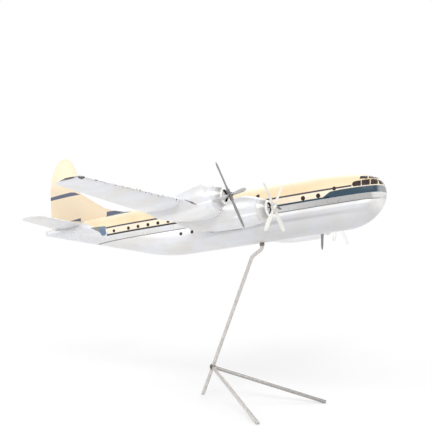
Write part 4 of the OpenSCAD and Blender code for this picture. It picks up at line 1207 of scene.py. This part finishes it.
def hexagon(z, round_r):
    """The nut's hexagon, kept within round_r."""
    ring = []
    for t in range(0, 360, 5):
        r = min(NUT_R * cosd(30) / cosd(t % 60 - 30), round_r)
        ring.append((r * cosd(t), r * sind(t), z))
    return ring


add_piece(
    "belly_nut", *skin([hexagon(z, r) for z, r in NUT_RINGS]), METAL["nut_steel"], "dark_steel",
    ["stand_collar"], matrix=AT_SOCKET, sharp=24,
)

# ---- CAD pieces that stay
STAYING = {
    "engine_black": ["engine_" + number for number in "1234"],
    # Painted light: the first hub takes the near-white blade paint, and the third the pale copy of
    # the hub metal
    "bright_blade": ["propeller_hub_1"],
    "hub_metal": ["propeller_hub_2", "propeller_hub_4"],
    "pale_hub": ["propeller_hub_3"],
    "inner_steel": ["propeller_pin_" + number for number in "1234"]
    + ["wing_spar", "fin_pin", "tail_dowel", "stand_socket"],
}
for material_name, names in STAYING.items():
    for name in names:
        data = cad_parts[name].data
        data.materials.clear()
        data.materials.append(METAL[material_name])

# ---- floor, light and camera
PAPER_WHITE, PAPER_GLOW, GLOW_START, GLOW_FULL = (0.96, 0.96, 0.965, 1), 0.35, 0.45, 1.3
# Floor, lamps and camera are placed in metres
FLOOR, WORLD_LIGHT = [(-8, -8, 0), (8, -8, 0), (8, 8, 0), (-8, 8, 0)], 0.62
# Name: place, width and height, power
LAMPS = {
    "key": ((0.9, -1.9, 2.3), (1.8, 1.4), 35.5),
    "fill": ((-1.8, -1.4, 1.4), (1.6, 1.6), 12),
    "back": ((-0.4, 2.0, 2.0), (2.2, 1.2), 20),
}
LAMP_TARGET = (0, 0, 0.3)
CAMERA_AT = (0.877577, -1.610848, 0.450462)
CAMERA_AHEAD = (-0.46561725, 0.88172086, -0.07595327)
LENS, SENSOR_WIDTH, CLIP_END = 90.905, 36, 60


def floor_finish():
    """White paper, partly diffuse near the object, where it takes a soft shadow, and plain white
    to the camera far off."""
    material = bpy.data.materials.new("floor_paper")
    tree = empty_tree(material)
    diffuse = add_node(tree, "BsdfDiffuse", {"Color": PAPER_WHITE}).outputs[0]
    glow = add_node(tree, "Emission", {"Strength": 1.0}).outputs[0]
    place = add_node(tree, "TexCoord").outputs["Object"]
    length = add_node(tree, "VectorMath", {0: place}, operation="LENGTH").outputs["Value"]
    far = add_ramp(tree, length, GLOW_START, GLOW_FULL, PAPER_GLOW)
    seen = add_node(tree, "LightPath").outputs["Is Camera Ray"]
    share = add_node(tree, "Math", {0: far, 1: seen}, operation="MULTIPLY").outputs[0]
    both = add_node(tree, "MixShader", {"Fac": share, 1: diffuse, 2: glow}).outputs[0]
    add_node(tree, "OutputMaterial", {"Surface": both})
    return material


floor_mesh = bpy.data.meshes.new("floor")
floor_mesh.from_pydata(FLOOR, [], [(0, 1, 2, 3)])
floor = in_scene("floor", floor_mesh)
floor_mesh.materials.append(floor_finish())


def world_light():
    """White to the camera and in reflections, and dimmer as light on the object."""
    world = bpy.data.worlds.new("studio")
    bpy.context.scene.world = world
    tree = empty_tree(world)
    rays = add_node(tree, "LightPath").outputs
    seen = rays["Is Camera Ray"]
    for name in ("Is Glossy Ray", "Is Transmission Ray"):
        seen = add_node(tree, "Math", {0: seen, 1: rays[name]}, operation="MAXIMUM").outputs[0]
    strength = add_ramp(tree, seen, 0.0, 1.0, WORLD_LIGHT, kind="LINEAR")
    light = add_node(tree, "Background", {"Color": (1, 1, 1, 1), "Strength": strength}).outputs[0]
    add_node(tree, "OutputWorld", {"Surface": light})


world_light()

for name, (place, size, power) in LAMPS.items():
    data = bpy.data.lights.new(name, "AREA")
    data.shape = "RECTANGLE"
    data.size, data.size_y = size
    data.energy = power
    lamp = in_scene(name, data)
    lamp.location = place
    lamp.rotation_euler = (Vector(LAMP_TARGET) - Vector(place)).to_track_quat("-Z", "Y").to_euler()

camera_data = bpy.data.cameras.new("camera")
camera_data.lens = LENS
camera_data.sensor_width = SENSOR_WIDTH
camera_data.clip_end = CLIP_END
camera = in_scene("camera", camera_data)
camera.location = CAMERA_AT
camera.rotation_euler = Vector(CAMERA_AHEAD).to_track_quat("-Z", "Y").to_euler()
bpy.context.scene.camera = camera
bpy.context.scene.view_settings.view_transform = "Standard"
